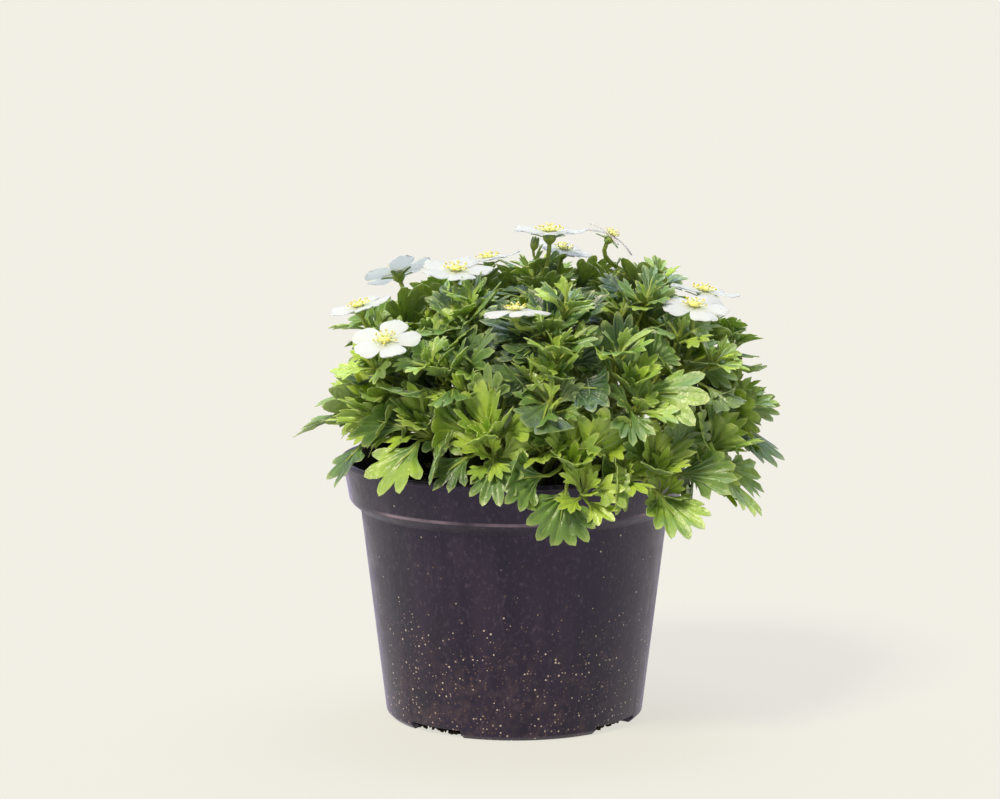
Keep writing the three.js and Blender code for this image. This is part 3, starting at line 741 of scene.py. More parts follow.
class Leaves:
    """Adds finished leaves, with their stalks and hairs, to a piece"""

    def __init__(self, settings):
        self.thickness = settings.blade_thickness / MM
        self.broad = [
            Cut([66, 33, 0], [0.8, 0.95, 1], [0.14, 0.155, 0.16], [0.54, 0.6]),
            Cut([80, 53, 26, 0], [0.7, 0.88, 0.96, 1], [0.11, 0.13, 0.13, 0.13],
                [0.5, 0.64, 0.66]),
            Cut([88, 66, 44, 22, 0], [0.62, 0.82, 0.92, 0.97, 1],
                [0.1, 0.115, 0.115, 0.115, 0.12], [0.52, 0.62, 0.68, 0.72]),
            Cut([62, 31, 0], [0.76, 0.93, 1], [0.12, 0.13, 0.14], [0.42, 0.46], point=(0.8, 0.5)),
            Cut([74, 46, 22, 0], [0.64, 0.86, 0.9, 1], [0.11, 0.12, 0.1, 0.12],
                [0.46, 0.68, 0.5], point=(0.8, 0.5)),
        ]
        self.young = [
            Cut([42, 0], [0.8, 1], [0.13, 0.14], [0.5], rows=3, point=(0.8, 0.5)),
            Cut([58, 29, 0], [0.66, 0.9, 1], [0.1, 0.12, 0.12], [0.5, 0.58], rows=3,
                point=(0.8, 0.5)),
            Cut([66, 34, 0], [0.7, 0.9, 1], [0.13, 0.15, 0.16], [0.52, 0.62], rows=3),
        ]
        self.bract = Cut([0], [1], [0.2], [], rows=4)
        self.stalk = Tube(6, 5)
        self.hair = Spike()

    def add(self, piece, shoot, leaf, cut, seed, tint, relief, slack=2.0):
        """Relief is how deep the lobes are channelled and how far the tips curl down"""
        middle = shoot.bent_clear(blade_middle(leaf, cut, seed, *relief), LEAF_CLEARANCE, slack)
        thickness = self.thickness * (1 - 0.5 * cut.levels[:, None])
        points = cut.sheet.laid(middle, thickness)
        # Here and there a leaf is faded, or dull with bloom
        faded = 0.7 if scatter(seed, 17) < 0.05 else 0.35 * scatter(seed, 19) ** 2
        under = np.where(cut.sheet.upper, faded, 1.0)
        piece.add(cut.sheet, points, BLADE_LOOK, tint=tint, under=under, **cut.looks)
        self.add_stalk(piece, shoot, leaf, relief[0], slack)

    def add_stalk(self, piece, shoot, leaf, channel, slack):
        """The leaf's stalk, which runs on as a rib to the middle of the blade"""
        rib = RIB_END * leaf.blade
        s = np.linspace(-0.8, leaf.petiole + rib, self.stalk.steps + 1)
        on_blade = np.clip((s - leaf.petiole) / rib, 0, 1)
        path = leaf.at(s, 0.0, -0.12 - leaf.blade * channel * on_blade ** 1.2 * 0.6)
        path = shoot.bent_clear(path, LEAF_CLEARANCE, slack)
        widths = 0.68 * (1 - 0.72 * on_blade)
        heights = 0.5 * (1 - 0.62 * on_blade)
        points = self.stalk.drawn(path, widths, heights, leaf.across)
        piece.add(self.stalk, points, STALK_LOOK, tint=0.5)

    def add_hairs(self, piece, path, radius, count, seed):
        """Short hairs that stand off a stalk all round"""
        for k in range(count):
            share = (k + scatter(seed, 200 + k)) / count * (len(path) - 1.001)
            n = int(share)
            foot = path[n] + (path[n + 1] - path[n]) * (share - n)
            way = unit(path[n + 1] - path[n])
            out = round_about(way, side_of(way), k * GOLDEN + seed)
            self.add_hair(piece, foot + out * radius * 0.8, unit(out + way * 0.3))

    def add_hair(self, piece, foot, way):
        side = unit(np.cross(way, [0.2, 0.9, 0.4]))
        x, y, z = self.hair.place.T
        across = side * (x * 0.06)[:, None] + np.cross(way, side) * (y * 0.06)[:, None]
        points = foot + way * ((z + 0.5) * HAIR_LENGTH)[:, None] + across
        piece.add(self.hair, points, STALK_LOOK, tint=1.0)


class ShootMaker:
    """Builds a shoot's finished piece: stem, leaves, sprigs, and stalk where it flowers"""

    def __init__(self, settings):
        self.leaves = Leaves(settings)
        self.stem = Tube(8, 14)
        self.flower_stalk = Tube(7, 10)
        self.sprig_stem = Tube(5, 4)
        self.cup = Tube(10, 4)

    def build(self, shoot, materials):
        piece = Piece("leafy_shoot_piece_%02d" % (shoot.number + 1), materials)
        self.add_stem(piece, shoot)
        self.add_whorls(piece, shoot)
        self.add_old_leaves(piece, shoot)
        self.add_sprigs(piece, shoot)
        if shoot.bloom:
            self.add_flower_stalk(piece, shoot)
        else:
            self.add_centre(piece, shoot)
        return piece.finish("foliage", "leafy_shoot_%02d" % (shoot.number + 1))

    def brightness(self, shoot, seed, age):
        """Low and outer leaves are yellow-green, those on the crown a deeper green"""
        low = 1 - max(0, min(1, (shoot.tip[2] - 98) / 45))
        value = 0.18 + 0.45 * low + spread(seed, 21, 0.28) + age
        return max(0, min(1, value))

    def add_stem(self, piece, shoot):
        path = shoot.stem()(np.linspace(0, 1, self.stem.steps - 1))
        path = np.vstack([shoot.foot, path, shoot.tip])
        rising = np.linspace(0, 1, self.stem.steps + 1)
        radii = STEM_RADIUS * (1.05 - 0.3 * rising)
        tint = 0.25 + 0.35 * rising[self.stem.step]
        piece.draw(self.stem, path, radii, STALK_LOOK, tint=tint)
        self.leaves.add_hairs(piece, path[6:], STEM_RADIUS * 0.8, 20, shoot.number + 0.5)

    def add_whorls(self, piece, shoot):
        for whorl, cuts in ((BROAD_WHORL, self.leaves.broad), (YOUNG_WHORL, self.leaves.young)):
            young = whorl is YOUNG_WHORL
            centre = shoot.tip + shoot.axis * sum(whorl.levels) / 2
            for k in range(STEM_SIDES):
                number = k + whorl.first
                seed = shoot.seed(number)
                angle = (k + whorl.turn) / STEM_SIDES * math.tau
                out = shoot.outward(angle + spread(seed, 31, 0.22))
                base = centre + out * STEM_RADIUS * 0.7
                leaf = whorl_leaf(shoot, base, out, whorl, number)
                # Leaves that hang do so most over the front of the rim
                raised = 16 * (1 - self.front(shoot)) if out[2] < 0 and shoot.ring == 3 else 0
                leaf = leaf.varied(seed, 9, 16, 0.6 if young else 0, raised)
                if shoot.ring == 2 and not young:
                    leaf = leaf.reaching(0.14 * max(0, out.dot(self.outside(shoot))))
                tint = self.brightness(shoot, seed, 0.28 if young else 0)
                relief = (0.06, 0.02 if young else 0.07 + spread(seed, 15, 0.09))
                self.leaves.add(piece, shoot, leaf, pick(cuts, seed), seed, tint, relief, slack=6)

    def add_old_leaves(self, piece, shoot):
        """Older leaves further down the stem fill the cushion and hang over the rim"""
        count = OLD_LEAVES[shoot.ring] - (3 if self.sparse(shoot) else 0)
        stem = shoot.stem()
        tall = np.linalg.norm(np.diff(stem(np.linspace(0, 1, 12)), axis=0), axis=1).sum()
        for k in range(count):
            seed = shoot.seed(OLD_LEAF_SEED + k)
            down = 2.2 + 2.9 * k + spread(seed, 1, 0.8)
            share = max(0.1, 1 - down / tall)
            base, ahead = stem([share, min(1, share + 0.02)])
            axis = unit(ahead - base) if share < 0.98 else shoot.axis
            axis = unit(axis + shoot.axis)
            out = round_about(axis, squared(shoot.side, axis), k * GOLDEN + 0.6)
            # They swing round to the light outside the cushion
            out = squared(unit(out + self.outside(shoot) * 0.7), axis)
            size = shoot.leaf * (0.96 + spread(seed, 2, 0.24))
            front = self.front(shoot)
            bow = -DROOP * out[2] * (0.4 + 0.6 * front)
            start = 56 + (1.2 + 1.3 * front) * k + bow * 0.4 + spread(seed, 3, 8)
            end = 90 + (0.8 + 3.4 * front) * k + bow + spread(seed, 4, 12)
            petiole = (8 + 1.0 * k) * shoot.leaf * (1 + spread(seed, 7, 0.35))
            blade = min(MOST_BLADE, BLADE * size)
            leaf = Leaf(base + out * 0.7, axis, out, petiole, blade, start, end)
            cut = pick(self.leaves.broad, seed)
            tint = self.brightness(shoot, seed, -0.12 + 0.02 * k)
            relief = (0.06, 0.12 + spread(seed, 6, 0.1))
            self.leaves.add(piece, shoot, leaf, cut, seed, tint, relief, slack=9)

    def front(self, shoot):
        """1 at the front of the cushion and 0 from its sides on"""
        return min(1, max(0, -self.outside(shoot)[1])) ** 2

    def sparse(self, shoot):
        """Some shoots have lost leaves, and their stems and stalks show"""
        return shoot.ring > 1 and scatter(shoot.number, 50) < 0.4

    def outside(self, shoot):
        """The way out of the cushion's side at a shoot; nought at its very top"""
        way = (shoot.tip - CUSHION) / CUSHION_RADII
        way[2] = 0
        return way

    def add_sprigs(self, piece, shoot):
        """Short side sprigs with a tuft of small bright leaves. The first one stands up
        past the shoot's own tip"""
        count = SPRIGS[shoot.ring] - (2 if self.sparse(shoot) else 0)
        for n in range(count):
            seed = shoot.seed(SPRIG_SEED + n)
            out = shoot.outward(n * math.tau / count + 0.5 + spread(seed, 2, 0.5))
            top = shoot.bent_clear(self.sprig_top(shoot, n, out, seed)[None], 2.0, 2)[0]
            root = shoot.stem()([0.66 + spread(seed, 1, 0.06)])[0]
            lift_over_rim(root, 2)
            axis = unit(shoot.axis + out * 0.45 + [0, 0, 0.6])
            path = bezier(root, root + shoot.axis * 5, top - axis * 7, top, np.linspace(0, 1, 5))
            piece.draw(self.sprig_stem, path, np.linspace(0.75, 0.5, 5), STALK_LOOK, tint=0.7)
            self.add_tuft(piece, shoot, top, axis, seed)

    def sprig_top(self, shoot, number, out, seed):
        """Where a side sprig ends. On the cushion's flanks one sprig reaches outwards"""
        outside = self.outside(shoot)
        if number == 1 and shoot.ring > 1 and abs(outside[0]) > 0.6:
            reach = 14 if shoot.ring == 2 else 7
            return shoot.tip + outside * reach + [0, 0, 4 + spread(seed, 4, 4)]
        if number == 0 and shoot.ring < 3:
            rise = 7.5 + spread(seed, 4, 3)
            return shoot.tip + out * 6.5 + unit(shoot.axis + [0, 0, 1]) * rise
        top = shoot.tip + out * (10.5 + spread(seed, 3, 2.5))
        return top - shoot.axis * (3 + spread(seed, 4, 4))

    def add_tuft(self, piece, shoot, top, axis, seed):
        """The leaves of a side sprig, the lowest first"""
        side = squared(shoot.side, axis)
        for k, (blade, petiole, start, end) in enumerate(SPRIG_LEAVES):
            leaf_seed = seed + 40 * (k + 1)
            way = round_about(axis, side, k * GOLDEN + seed)
            base = top + way * 0.3 - axis * 0.6 * (6 - k)
            blade = blade * shoot.leaf * (1 + spread(leaf_seed, 1, 0.22))
            start = start + spread(leaf_seed, 2, 9)
            end = end + spread(leaf_seed, 3, 14)
            leaf = Leaf(base, axis, way, petiole, blade, start, end)
            cut = pick(self.leaves.young, leaf_seed)
            tint = self.brightness(shoot, leaf_seed, 0.4)
            self.leaves.add(piece, shoot, leaf, cut, leaf_seed, tint, (0.05, 0.03), slack=4)

    def add_centre(self, piece, shoot):
        """The unopened leaves in the middle of a shoot's top"""
        for k in range(4):
            seed = shoot.seed(HEART_SEED + k)
            out = shoot.outward(k * GOLDEN + 0.3)
            start = 6 + 3 * k
            blade = (7 + 1.2 * k) * shoot.leaf
            leaf = Leaf(shoot.tip + out * 0.5, shoot.axis, out, 1.2, blade, start, start + 22)
            tint = self.brightness(shoot, seed, 0.42)
            self.leaves.add(piece, shoot, leaf, self.leaves.young[0], seed, tint, (0.04, -0.03))

    def add_flower_stalk(self, piece, shoot):
        """A flower's stalk, with the green cup and the sepals under its petals"""
        bloom = shoot.bloom
        size = bloom.size
        face = bloom.turn[:, 2]
        seat = bloom.middle - face * 0.8
        cup = seat - face * 2.6 * size
        tall = np.linalg.norm(cup - shoot.tip)
        path = bezier(
            shoot.tip, shoot.tip + shoot.axis * tall * 0.45, cup - face * tall * 0.35, cup,
            np.linspace(0, 1, self.flower_stalk.steps + 1),
        )
        radii = np.linspace(0.95, 0.75, len(path))
        piece.draw(self.flower_stalk, path, radii, STALK_LOOK, tint=0.6)
        self.leaves.add_hairs(piece, path, 0.8, 46, shoot.number + 0.25)
        # The cup under the petals swells from the stalk
        height = np.linspace(-0.3, 2.5 * size, 5)
        radius = np.array([0.8, 1.5, 2.05, 2.2, 2.0]) * size
        base = cup + face * height[:, None]
        piece.draw(self.cup, base, radius, STALK_LOOK, tint=0.45)
        for k in range(SEPALS):
            angle = (k + 0.5) / SEPALS * math.tau
            out = bloom.turn[:, 0] * math.cos(angle) + bloom.turn[:, 1] * math.sin(angle)
            start = 70 + 20 * bloom.wear
            foot = seat - face * 0.9 + out * 1.7 * size
            sepal = Leaf(foot, face, out, 0.2, 4.2 * size, start, start + 14)
            self.add_small_blade(piece, sepal, 0.35)
        # Two narrow leaves on the stalk
        for k, share in enumerate((0.35, 0.62)):
            n = int(share * (len(path) - 1))
            way = unit(path[n + 1] - path[n])
            out = round_about(way, side_of(way), shoot.seed(BRACT_SEED + k) * GOLDEN)
            bract = Leaf(path[n] + out * 0.6, way, out, 0.6, 6.5 - k, 32, 58)
            self.add_small_blade(piece, bract, 0.5)
        if scatter(shoot.number, 991) > 0.45 and tall > 14:
            self.add_bud(piece, shoot, path)

    def add_small_blade(self, piece, leaf, tint):
        """A sepal or a narrow leaf: one lobe, slightly cupped"""
        cut = self.leaves.bract
        flat = cut.flat(0.16)
        width = flat[..., 1] * leaf.blade
        lift = 0.5 * width * width / leaf.blade
        middle = leaf.at(leaf.petiole + flat[..., 0] * leaf.blade, width, lift)
        points = cut.sheet.laid(middle, 0.3)
        under = np.where(cut.sheet.upper, 0.0, 1.0)
        piece.add(cut.sheet, points, BLADE_LOOK, tint=tint, under=under, **cut.looks)

    def add_bud(self, piece, shoot, path):
        """A nodding bud on a side stalk"""
        root, ahead = path[4], path[5]
        way = unit(ahead - root)
        side = side_of(way)
        out = round_about(way, side, shoot.number * GOLDEN)
        top = root + out * 5.5 + way * 6.5
        bend = bezier(root, root + way * 2 + out * 2, top - way * 2.5, top, np.linspace(0, 1, 5))
        piece.draw(self.sprig_stem, bend, 0.5, STALK_LOOK, tint=0.6)
        height = np.linspace(0, 4.6, 5)
        radius = np.array([0.5, 1.35, 1.55, 1.1, 0.35])
        piece.draw(self.cup, top + way * height[:, None], radius, STALK_LOOK, tint=0.55)
        for k in range(SEPALS):
            across = round_about(way, side, k / SEPALS * math.tau)
            sepal = Leaf(top + way * 1.6 + across * 1.1, way, across, 0.1, 3.2, 12, -16)
            self.add_small_blade(piece, sepal, 0.4)


# Flowers
class Bloom:
    """A flower's place on the plant, its own directions, its size and its wear"""

    def __init__(self, number, middle, face, size, wear):
        facing = Vector((0, 0, 1)).rotation_difference(Vector(face).normalized())
        self.number = number
        self.middle = np.array(middle, dtype=float)
        self.turn = np.array(facing.to_matrix())
        self.size = size
        self.wear = wear

    def place(self, points):
        """Puts points that are shaped round the flower's middle on the plant"""
        return np.asarray(points, dtype=float) @ self.turn.T + self.middle


def all_blooms():
    return [Bloom(number, *bloom) for number, bloom in enumerate(BLOOMS)]


def petal_surface(length, seed, wear, drop, rows, columns):
    """A petal along X as rows of points: narrow at its foot, round at its tip"""
    t = np.linspace(0.1, 1, rows + 1)[:, None] ** 0.8 * 0.985
    aside = np.linspace(-1, 1, columns + 1)[None, :]
    half = 0.565 * t ** 0.75 * np.sqrt(1 - t ** 5)
    half = half * (1 - 0.78 * wear ** 2) * (1 + spread(seed, 1, 0.06))
    wavy = 1 + 0.018 * np.sin(5 * aside * math.pi * 0.5 + seed) * t
    x = (t * wavy + 0.045 * (1 - aside ** 2) * t ** 4) * 0.97
    y = aside * half + spread(seed, 2, 0.05) * t ** 2
    # It rises towards its tip, with its sides turned down, a groove along it and a wave
    lift = 0.2 * x ** 2 - 0.06 * x ** 4
    lift = lift - (0.11 + 0.1 * wear) * aside ** 2 * half * (0.4 + t)
    lift = lift - 0.012 * (1 - np.abs(aside)) ** 2 * t
    lift = lift + 0.012 * np.sin(4 * aside + seed) * t ** 2
    lift = lift - drop * t ** 2.4
    return np.stack([x * length, y * length, lift * length], axis=2)


def make_corollas(settings, material):
    sheet = Sheet(9, 10)
    disc = Tube(20, 1)
    looks = {"reach": sheet.row / sheet.rows, "lobe": sheet.column / sheet.columns}
    for bloom in all_blooms():
        wear = bloom.wear
        length = settings.petal_length / MM * bloom.size
        piece = Piece("corolla_%02d" % (bloom.number + 1), [material])
        for k in range(settings.petal_count):
            seed = bloom.number * 17 + k
            drop = 0.06 + spread(seed, 4, 0.05) + wear * (0.05 + 0.4 * scatter(seed, 5))
            if (bloom.number, k) == DROPPED_PETAL:
                drop = PETAL_DROP
            surface = petal_surface(length, seed, wear, drop, sheet.rows, sheet.columns)
            angle = k / settings.petal_count * math.tau + spread(seed, 6, 0.05)
            cos, sin = math.cos(angle), math.sin(angle)
            x = surface[..., 0] * cos - surface[..., 1] * sin
            y = surface[..., 0] * sin + surface[..., 1] * cos
            # Every other petal lies a little higher, so that their edges can overlap
            z = surface[..., 2] + 0.12 * (k % 2)
            placed = bloom.place(np.stack([x, y, z], axis=2))
            points = sheet.laid(placed, settings.petal_thickness / MM)
            piece.add(sheet, points, tint=wear, **looks)
        # The disc that joins the petals' feet
        ends = bloom.place([[0, 0, -0.35], [0, 0, 0.3]])
        radius = 2.1 * bloom.size
        piece.draw(disc, ends, [radius, radius * 0.9], tint=wear, lobe=0.5)
        piece.finish("petals", "petals_%02d" % (bloom.number + 1))


# A stamen's stalk and its anther, the ovary's dome and one of its styles
CentreShapes = namedtuple("CentreShapes", "filament anther dome style")
# Where these materials stand in a flower centre's list, and how high its parts are seated
FILAMENT_LOOK = 0
ANTHER_LOOK = 1
OVARY_LOOK = 2
SEAT = 0.75


def make_stamens(settings, materials):
    shapes = CentreShapes(Tube(5, 4), Knob(2), Tube(16, 6), Tube(6, 3))
    for bloom in all_blooms():
        piece = Piece("stamens_piece_%02d" % (bloom.number + 1), materials)
        for k in range(settings.stamen_count):
            add_stamen(piece, shapes, bloom, k, settings.stamen_count)
        add_ovary(piece, shapes, bloom)
        piece.finish("stamens", "stamens_%02d" % (bloom.number + 1))


def add_stamen(piece, shapes, bloom, number, count):
    """Long and short stamens by turns. In a worn flower they draw together and shrivel"""
    seed = bloom.number * 13 + number
    size = bloom.size
    long = number % 2
    angle = (number + 0.25 + spread(seed, 1, 0.2)) / count * math.tau
    out = np.array([math.cos(angle), math.sin(angle), 0])
    opened = 1 - 0.25 * bloom.wear
    reach = (4.2 if long else 3.4) * size * opened * (1 + spread(seed, 2, 0.1))
    rise = (0.8 if long else 1.3) * size * (1 + spread(seed, 3, 0.2))
    path = bezier(
        out * 1.7 * size + [0, 0, SEAT], out * 2.6 * size + [0, 0, SEAT + 0.5],
        out * reach * 0.9 + [0, 0, SEAT + rise * 0.6], out * reach + [0, 0, SEAT + rise],
        np.linspace(0, 1, 5),
    )
    widths = [0.3, 0.26, 0.23, 0.2, 0.16]
    piece.draw(shapes.filament, bloom.place(path), widths, FILAMENT_LOOK, tint=0.3)
    # The anther: two lobes side by side, joined by a waist
    x, y, z = shapes.anther.place.T
    waist = 1 - 0.35 * np.exp(-(y / 0.35) ** 2)
    ripe = size * (1 - 0.4 * bloom.wear)
    lump = np.stack([x * 0.34 * waist, y * 0.5, z * 0.34 * waist], axis=1) * ripe
    across = np.array([-out[1], out[0], 0])
    lump = lump[:, :1] * out + lump[:, 1:2] * across + lump[:, 2:] * [0, 0, 1]
    points = bloom.place(lump + path[-1] + [0, 0, 0.2])
    piece.add(shapes.anther, points, ANTHER_LOOK, tint=scatter(seed, 4))


def add_ovary(piece, shapes, bloom):
    """A green-yellow dome with two short styles that part"""
    size = bloom.size
    radius = np.array([2.0, 2.0, 1.8, 1.5, 1.1, 0.65, 0.1]) * size
    dome = np.zeros((len(radius), 3))
    dome[:, 2] = np.array([-0.2, 0.3, 0.65, 0.95, 1.15, 1.3, 1.35]) * size + SEAT
    piece.draw(shapes.dome, bloom.place(dome), radius, OVARY_LOOK, tint=0.5)
    style = np.array([[0.35, 0, 1.1], [0.6, 0.05, 1.7], [0.95, 0.1, 2.1], [1.4, 0.12, 2.3]])
    for sign in (-1, 1):
        path = bloom.place(style * [sign, sign, 1] * size + [0, 0, SEAT])
        piece.draw(shapes.style, path, [0.42, 0.3, 0.24, 0.34], OVARY_LOOK, tint=0.9)


# Pot
def pot_profile(wall):
    """The wall's cross-section, from the middle of its underside round to its floor"""
    lip_foot = POT_HEIGHT - LIP_HEIGHT
    floor = NOTCH_HEIGHT + wall
    return [
        (0, 0),
        (FOOT_RADIUS - FOOT_ROUND, 0),
        (FOOT_RADIUS, FOOT_ROUND),
        (WALL_TOP_RADIUS, SHOULDER_FOOT),
        (BAND_FOOT_RADIUS - BAND_CHAMFER[0], BAND_FOOT - BAND_CHAMFER[1]),
        (BAND_FOOT_RADIUS, BAND_FOOT),
        (RIM_RADIUS - LIP_OUT, lip_foot),
        (RIM_RADIUS, lip_foot + LIP_CHAMFER),
        (RIM_RADIUS, POT_HEIGHT),
        (RIM_RADIUS - LIP_OUT - wall, POT_HEIGHT),
        (BAND_FOOT_RADIUS - wall, BAND_FOOT),
        (WALL_TOP_RADIUS - wall, SHOULDER_FOOT),
        (FOOT_RADIUS + INNER_FLARE - wall, floor + FOOT_ROUND),
        (FOOT_RADIUS - FOOT_ROUND - wall, floor),
        (0, floor),
    ]


def merge_doubles(bm):
    bmesh.ops.remove_doubles(bm, verts=bm.verts[:], dist=MERGE_DISTANCE)


def spun(profile, steps):
    """A solid of revolution from a profile that starts and ends on the axis"""
    bm = bmesh.new()
    verts = [bm.verts.new((radius * MM, 0, height * MM)) for radius, height in profile]
    edges = [bm.edges.new(pair) for pair in zip(verts, verts[1:])]
    bmesh.ops.spin(
        bm, geom=verts + edges, cent=(0, 0, 0), axis=(0, 0, 1), dvec=(0, 0, 0),
        angle=math.tau, steps=steps, use_merge=True,
    )
    merge_doubles(bm)
    bmesh.ops.recalc_face_normals(bm, faces=bm.faces[:])
    return bm


def cut_at_notches(piece, size, radius, height):
    """Cuts a box out of a piece at each of the foot's notches"""
    bm = bmesh.new()
    for angle in NOTCHES:
        made = bmesh.ops.create_cube(bm, size=1)["verts"]
        turn = Matrix.Rotation(angle, 3, "Z")
        bmesh.ops.scale(bm, vec=[length * MM for length in size], verts=made)
        bmesh.ops.translate(bm, vec=(radius * MM, 0, height * MM), verts=made)
        bmesh.ops.rotate(bm, cent=(0, 0, 0), matrix=turn, verts=made)
    bmesh.ops.recalc_face_normals(bm, faces=bm.faces[:])
    cutter = new_object("cutter", bm)
    modifier = piece.modifiers.new("cut", "BOOLEAN")
    modifier.object = cutter
    modifier.operation = "DIFFERENCE"
    modifier.solver = "EXACT"
    graph = bpy.context.evaluated_depsgraph_get()
    mesh = bpy.data.meshes.new_from_object(piece.evaluated_get(graph))
    piece.modifiers.clear()
    piece.data = mesh
    cutter_mesh = cutter.data
    bpy.data.objects.remove(cutter)
    bpy.data.meshes.remove(cutter_mesh)


def make_pot(settings, material):
    bm = spun(pot_profile(settings.wall / MM), settings.sides)
    piece = new_object("pot_piece", bm, material)
    # Both kinds of cutter stand out past what they cut
    reach = FOOT_RADIUS + 6
    notch = (reach - NOTCH_INNER_RADIUS, NOTCH_WIDTH, NOTCH_HEIGHT + 2)
    cut_at_notches(piece, notch, (NOTCH_INNER_RADIUS + reach) / 2, NOTCH_HEIGHT / 2 - 1)
    slot = (DRAIN_LENGTH, DRAIN_WIDTH, 6)
    slot_radius = NOTCH_INNER_RADIUS + DRAIN_LENGTH / 2 + DRAIN_INSET
    cut_at_notches(piece, slot, slot_radius, NOTCH_HEIGHT + 1)
    bevel_sharp_edges(piece.data, settings.edge_round)
    stand_for(piece, "pot", "pot")


def bevel_sharp_edges(mesh, radius):
    """Rounds a moulding's corners and shades the rest smoothly"""
    bm = bmesh.new()
    bm.from_mesh(mesh)
    merge_doubles(bm)
    corners = sharper_than(bm, CORNER_ANGLE)
    bmesh.ops.bevel(
        bm, geom=corners, offset=radius, offset_type="OFFSET", segments=3, profile=0.5,
        affect="EDGES", material=-1, clamp_overlap=True,
    )
    for face in bm.faces:
        face.smooth = True
    for edge in sharper_than(bm, CREASE_ANGLE):
        edge.smooth = False
    bm.to_mesh(mesh)
    bm.free()


def sharper_than(bm, angle):
    return [edge for edge in bm.edges if edge.is_manifold and edge.calc_face_angle(0) > angle]


# Compost
def make_compost(settings, material):
    """Compost up to a crumbly top, with crumbs caught at the foot of the pot"""
    wall = WALL + COMPOST_GAP
    top_radius = BAND_FOOT_RADIUS - wall
    piece = Piece("compost_piece", [material])
    filling = compost_filling(wall, top_radius)
    piece.add(filling, filling.place / MM, tint=0.2)
    crumb = Knob(1)
    for k in range(settings.crumb_count):
        radius = top_radius * 0.97 * math.sqrt(scatter(k, 31))
        angle = scatter(k, 32) * math.tau
        x, y = radius * math.cos(angle), radius * math.sin(angle)
        size = settings.crumb_size / MM * (0.35 + scatter(k, 33))
        centre = np.array([x, y, soil_height(x, y) - 0.8 + size * 0.35])
        piece.add(crumb, crumb_points(crumb, centre, size, k), tint=scatter(k, 34))
    # Compost that has washed out through the drain slots clings in the foot's notches
    for k in range(settings.foot_crumb_count):
        notch = NOTCHES[k % NOTCH_COUNT]
        aside = spread(k, 41, 0.46) * NOTCH_WIDTH
        radius = NOTCH_INNER_RADIUS + 0.5 + 5 * scatter(k, 42)
        size = 0.45 + 0.75 * scatter(k, 43)
        x = radius * math.cos(notch) - aside * math.sin(notch)
        y = radius * math.sin(notch) + aside * math.cos(notch)
        if math.hypot(x, y) <= FOOT_RADIUS - 0.6 - size:
            centre = np.array([x, y, size + (NOTCH_HEIGHT - size) * scatter(k, 45)])
            piece.add(crumb, crumb_points(crumb, centre, size, k), tint=scatter(k, 44) * 0.8)
    piece.finish("compost", "compost")


def compost_filling(wall, top_radius):
    """The filling of the pot, with an uneven top"""
    floor = NOTCH_HEIGHT + wall
    top = [(top_radius * (1 - k / TOP_RINGS), SOIL_LEVEL) for k in range(TOP_RINGS)]
    profile = [
        (0, floor),
        (FOOT_RADIUS - FOOT_ROUND - wall, floor),
        (FOOT_RADIUS - wall, floor + FOOT_ROUND),
        (WALL_TOP_RADIUS - wall, SHOULDER_FOOT),
        (BAND_FOOT_RADIUS - wall, BAND_FOOT),
    ] + top + [(0, SOIL_LEVEL)]
    bm = spun(profile, 110)
    for vertex in bm.verts:
        x, y, z = vertex.co / MM
        if z > SOIL_LEVEL - 1:
            rough = 0.8 * math.sin(1.9 * x + 0.7 * y) * math.cos(1.6 * y - 0.4 * x)
            rough += 0.5 * math.sin(3.3 * x) * math.sin(3.7 * y)
            # Smoother towards the wall
            inner = min(1, (top_radius - math.hypot(x, y)) / 2 + 0.2)
            vertex.co.z = (soil_height(x, y) - 1 + rough * inner * 0.6) * MM
    return Shape(bm)


def crumb_points(crumb, centre, size, seed):
    """A lump of uneven shape"""
    x, y, z = crumb.place.T
    lumpy = 1 + 0.28 * np.sin(3.1 * x + seed) * np.cos(2.7 * y - seed)
    lumpy = lumpy + 0.15 * np.sin(5 * z + seed)
    stretch = np.array([1 + spread(seed, 1, 0.3), 1 + spread(seed, 2, 0.3), 0.8])
    return centre + crumb.place * lumpy[:, None] * stretch * size


# Materials
def soft_tissue(weight, radius, depth_mm):
    """How much light goes into living tissue, and how far each of its colours goes"""
    return {
        "Subsurface Weight": weight,
        "Subsurface Radius": radius,
        "Subsurface Scale": depth_mm * MM,
    }


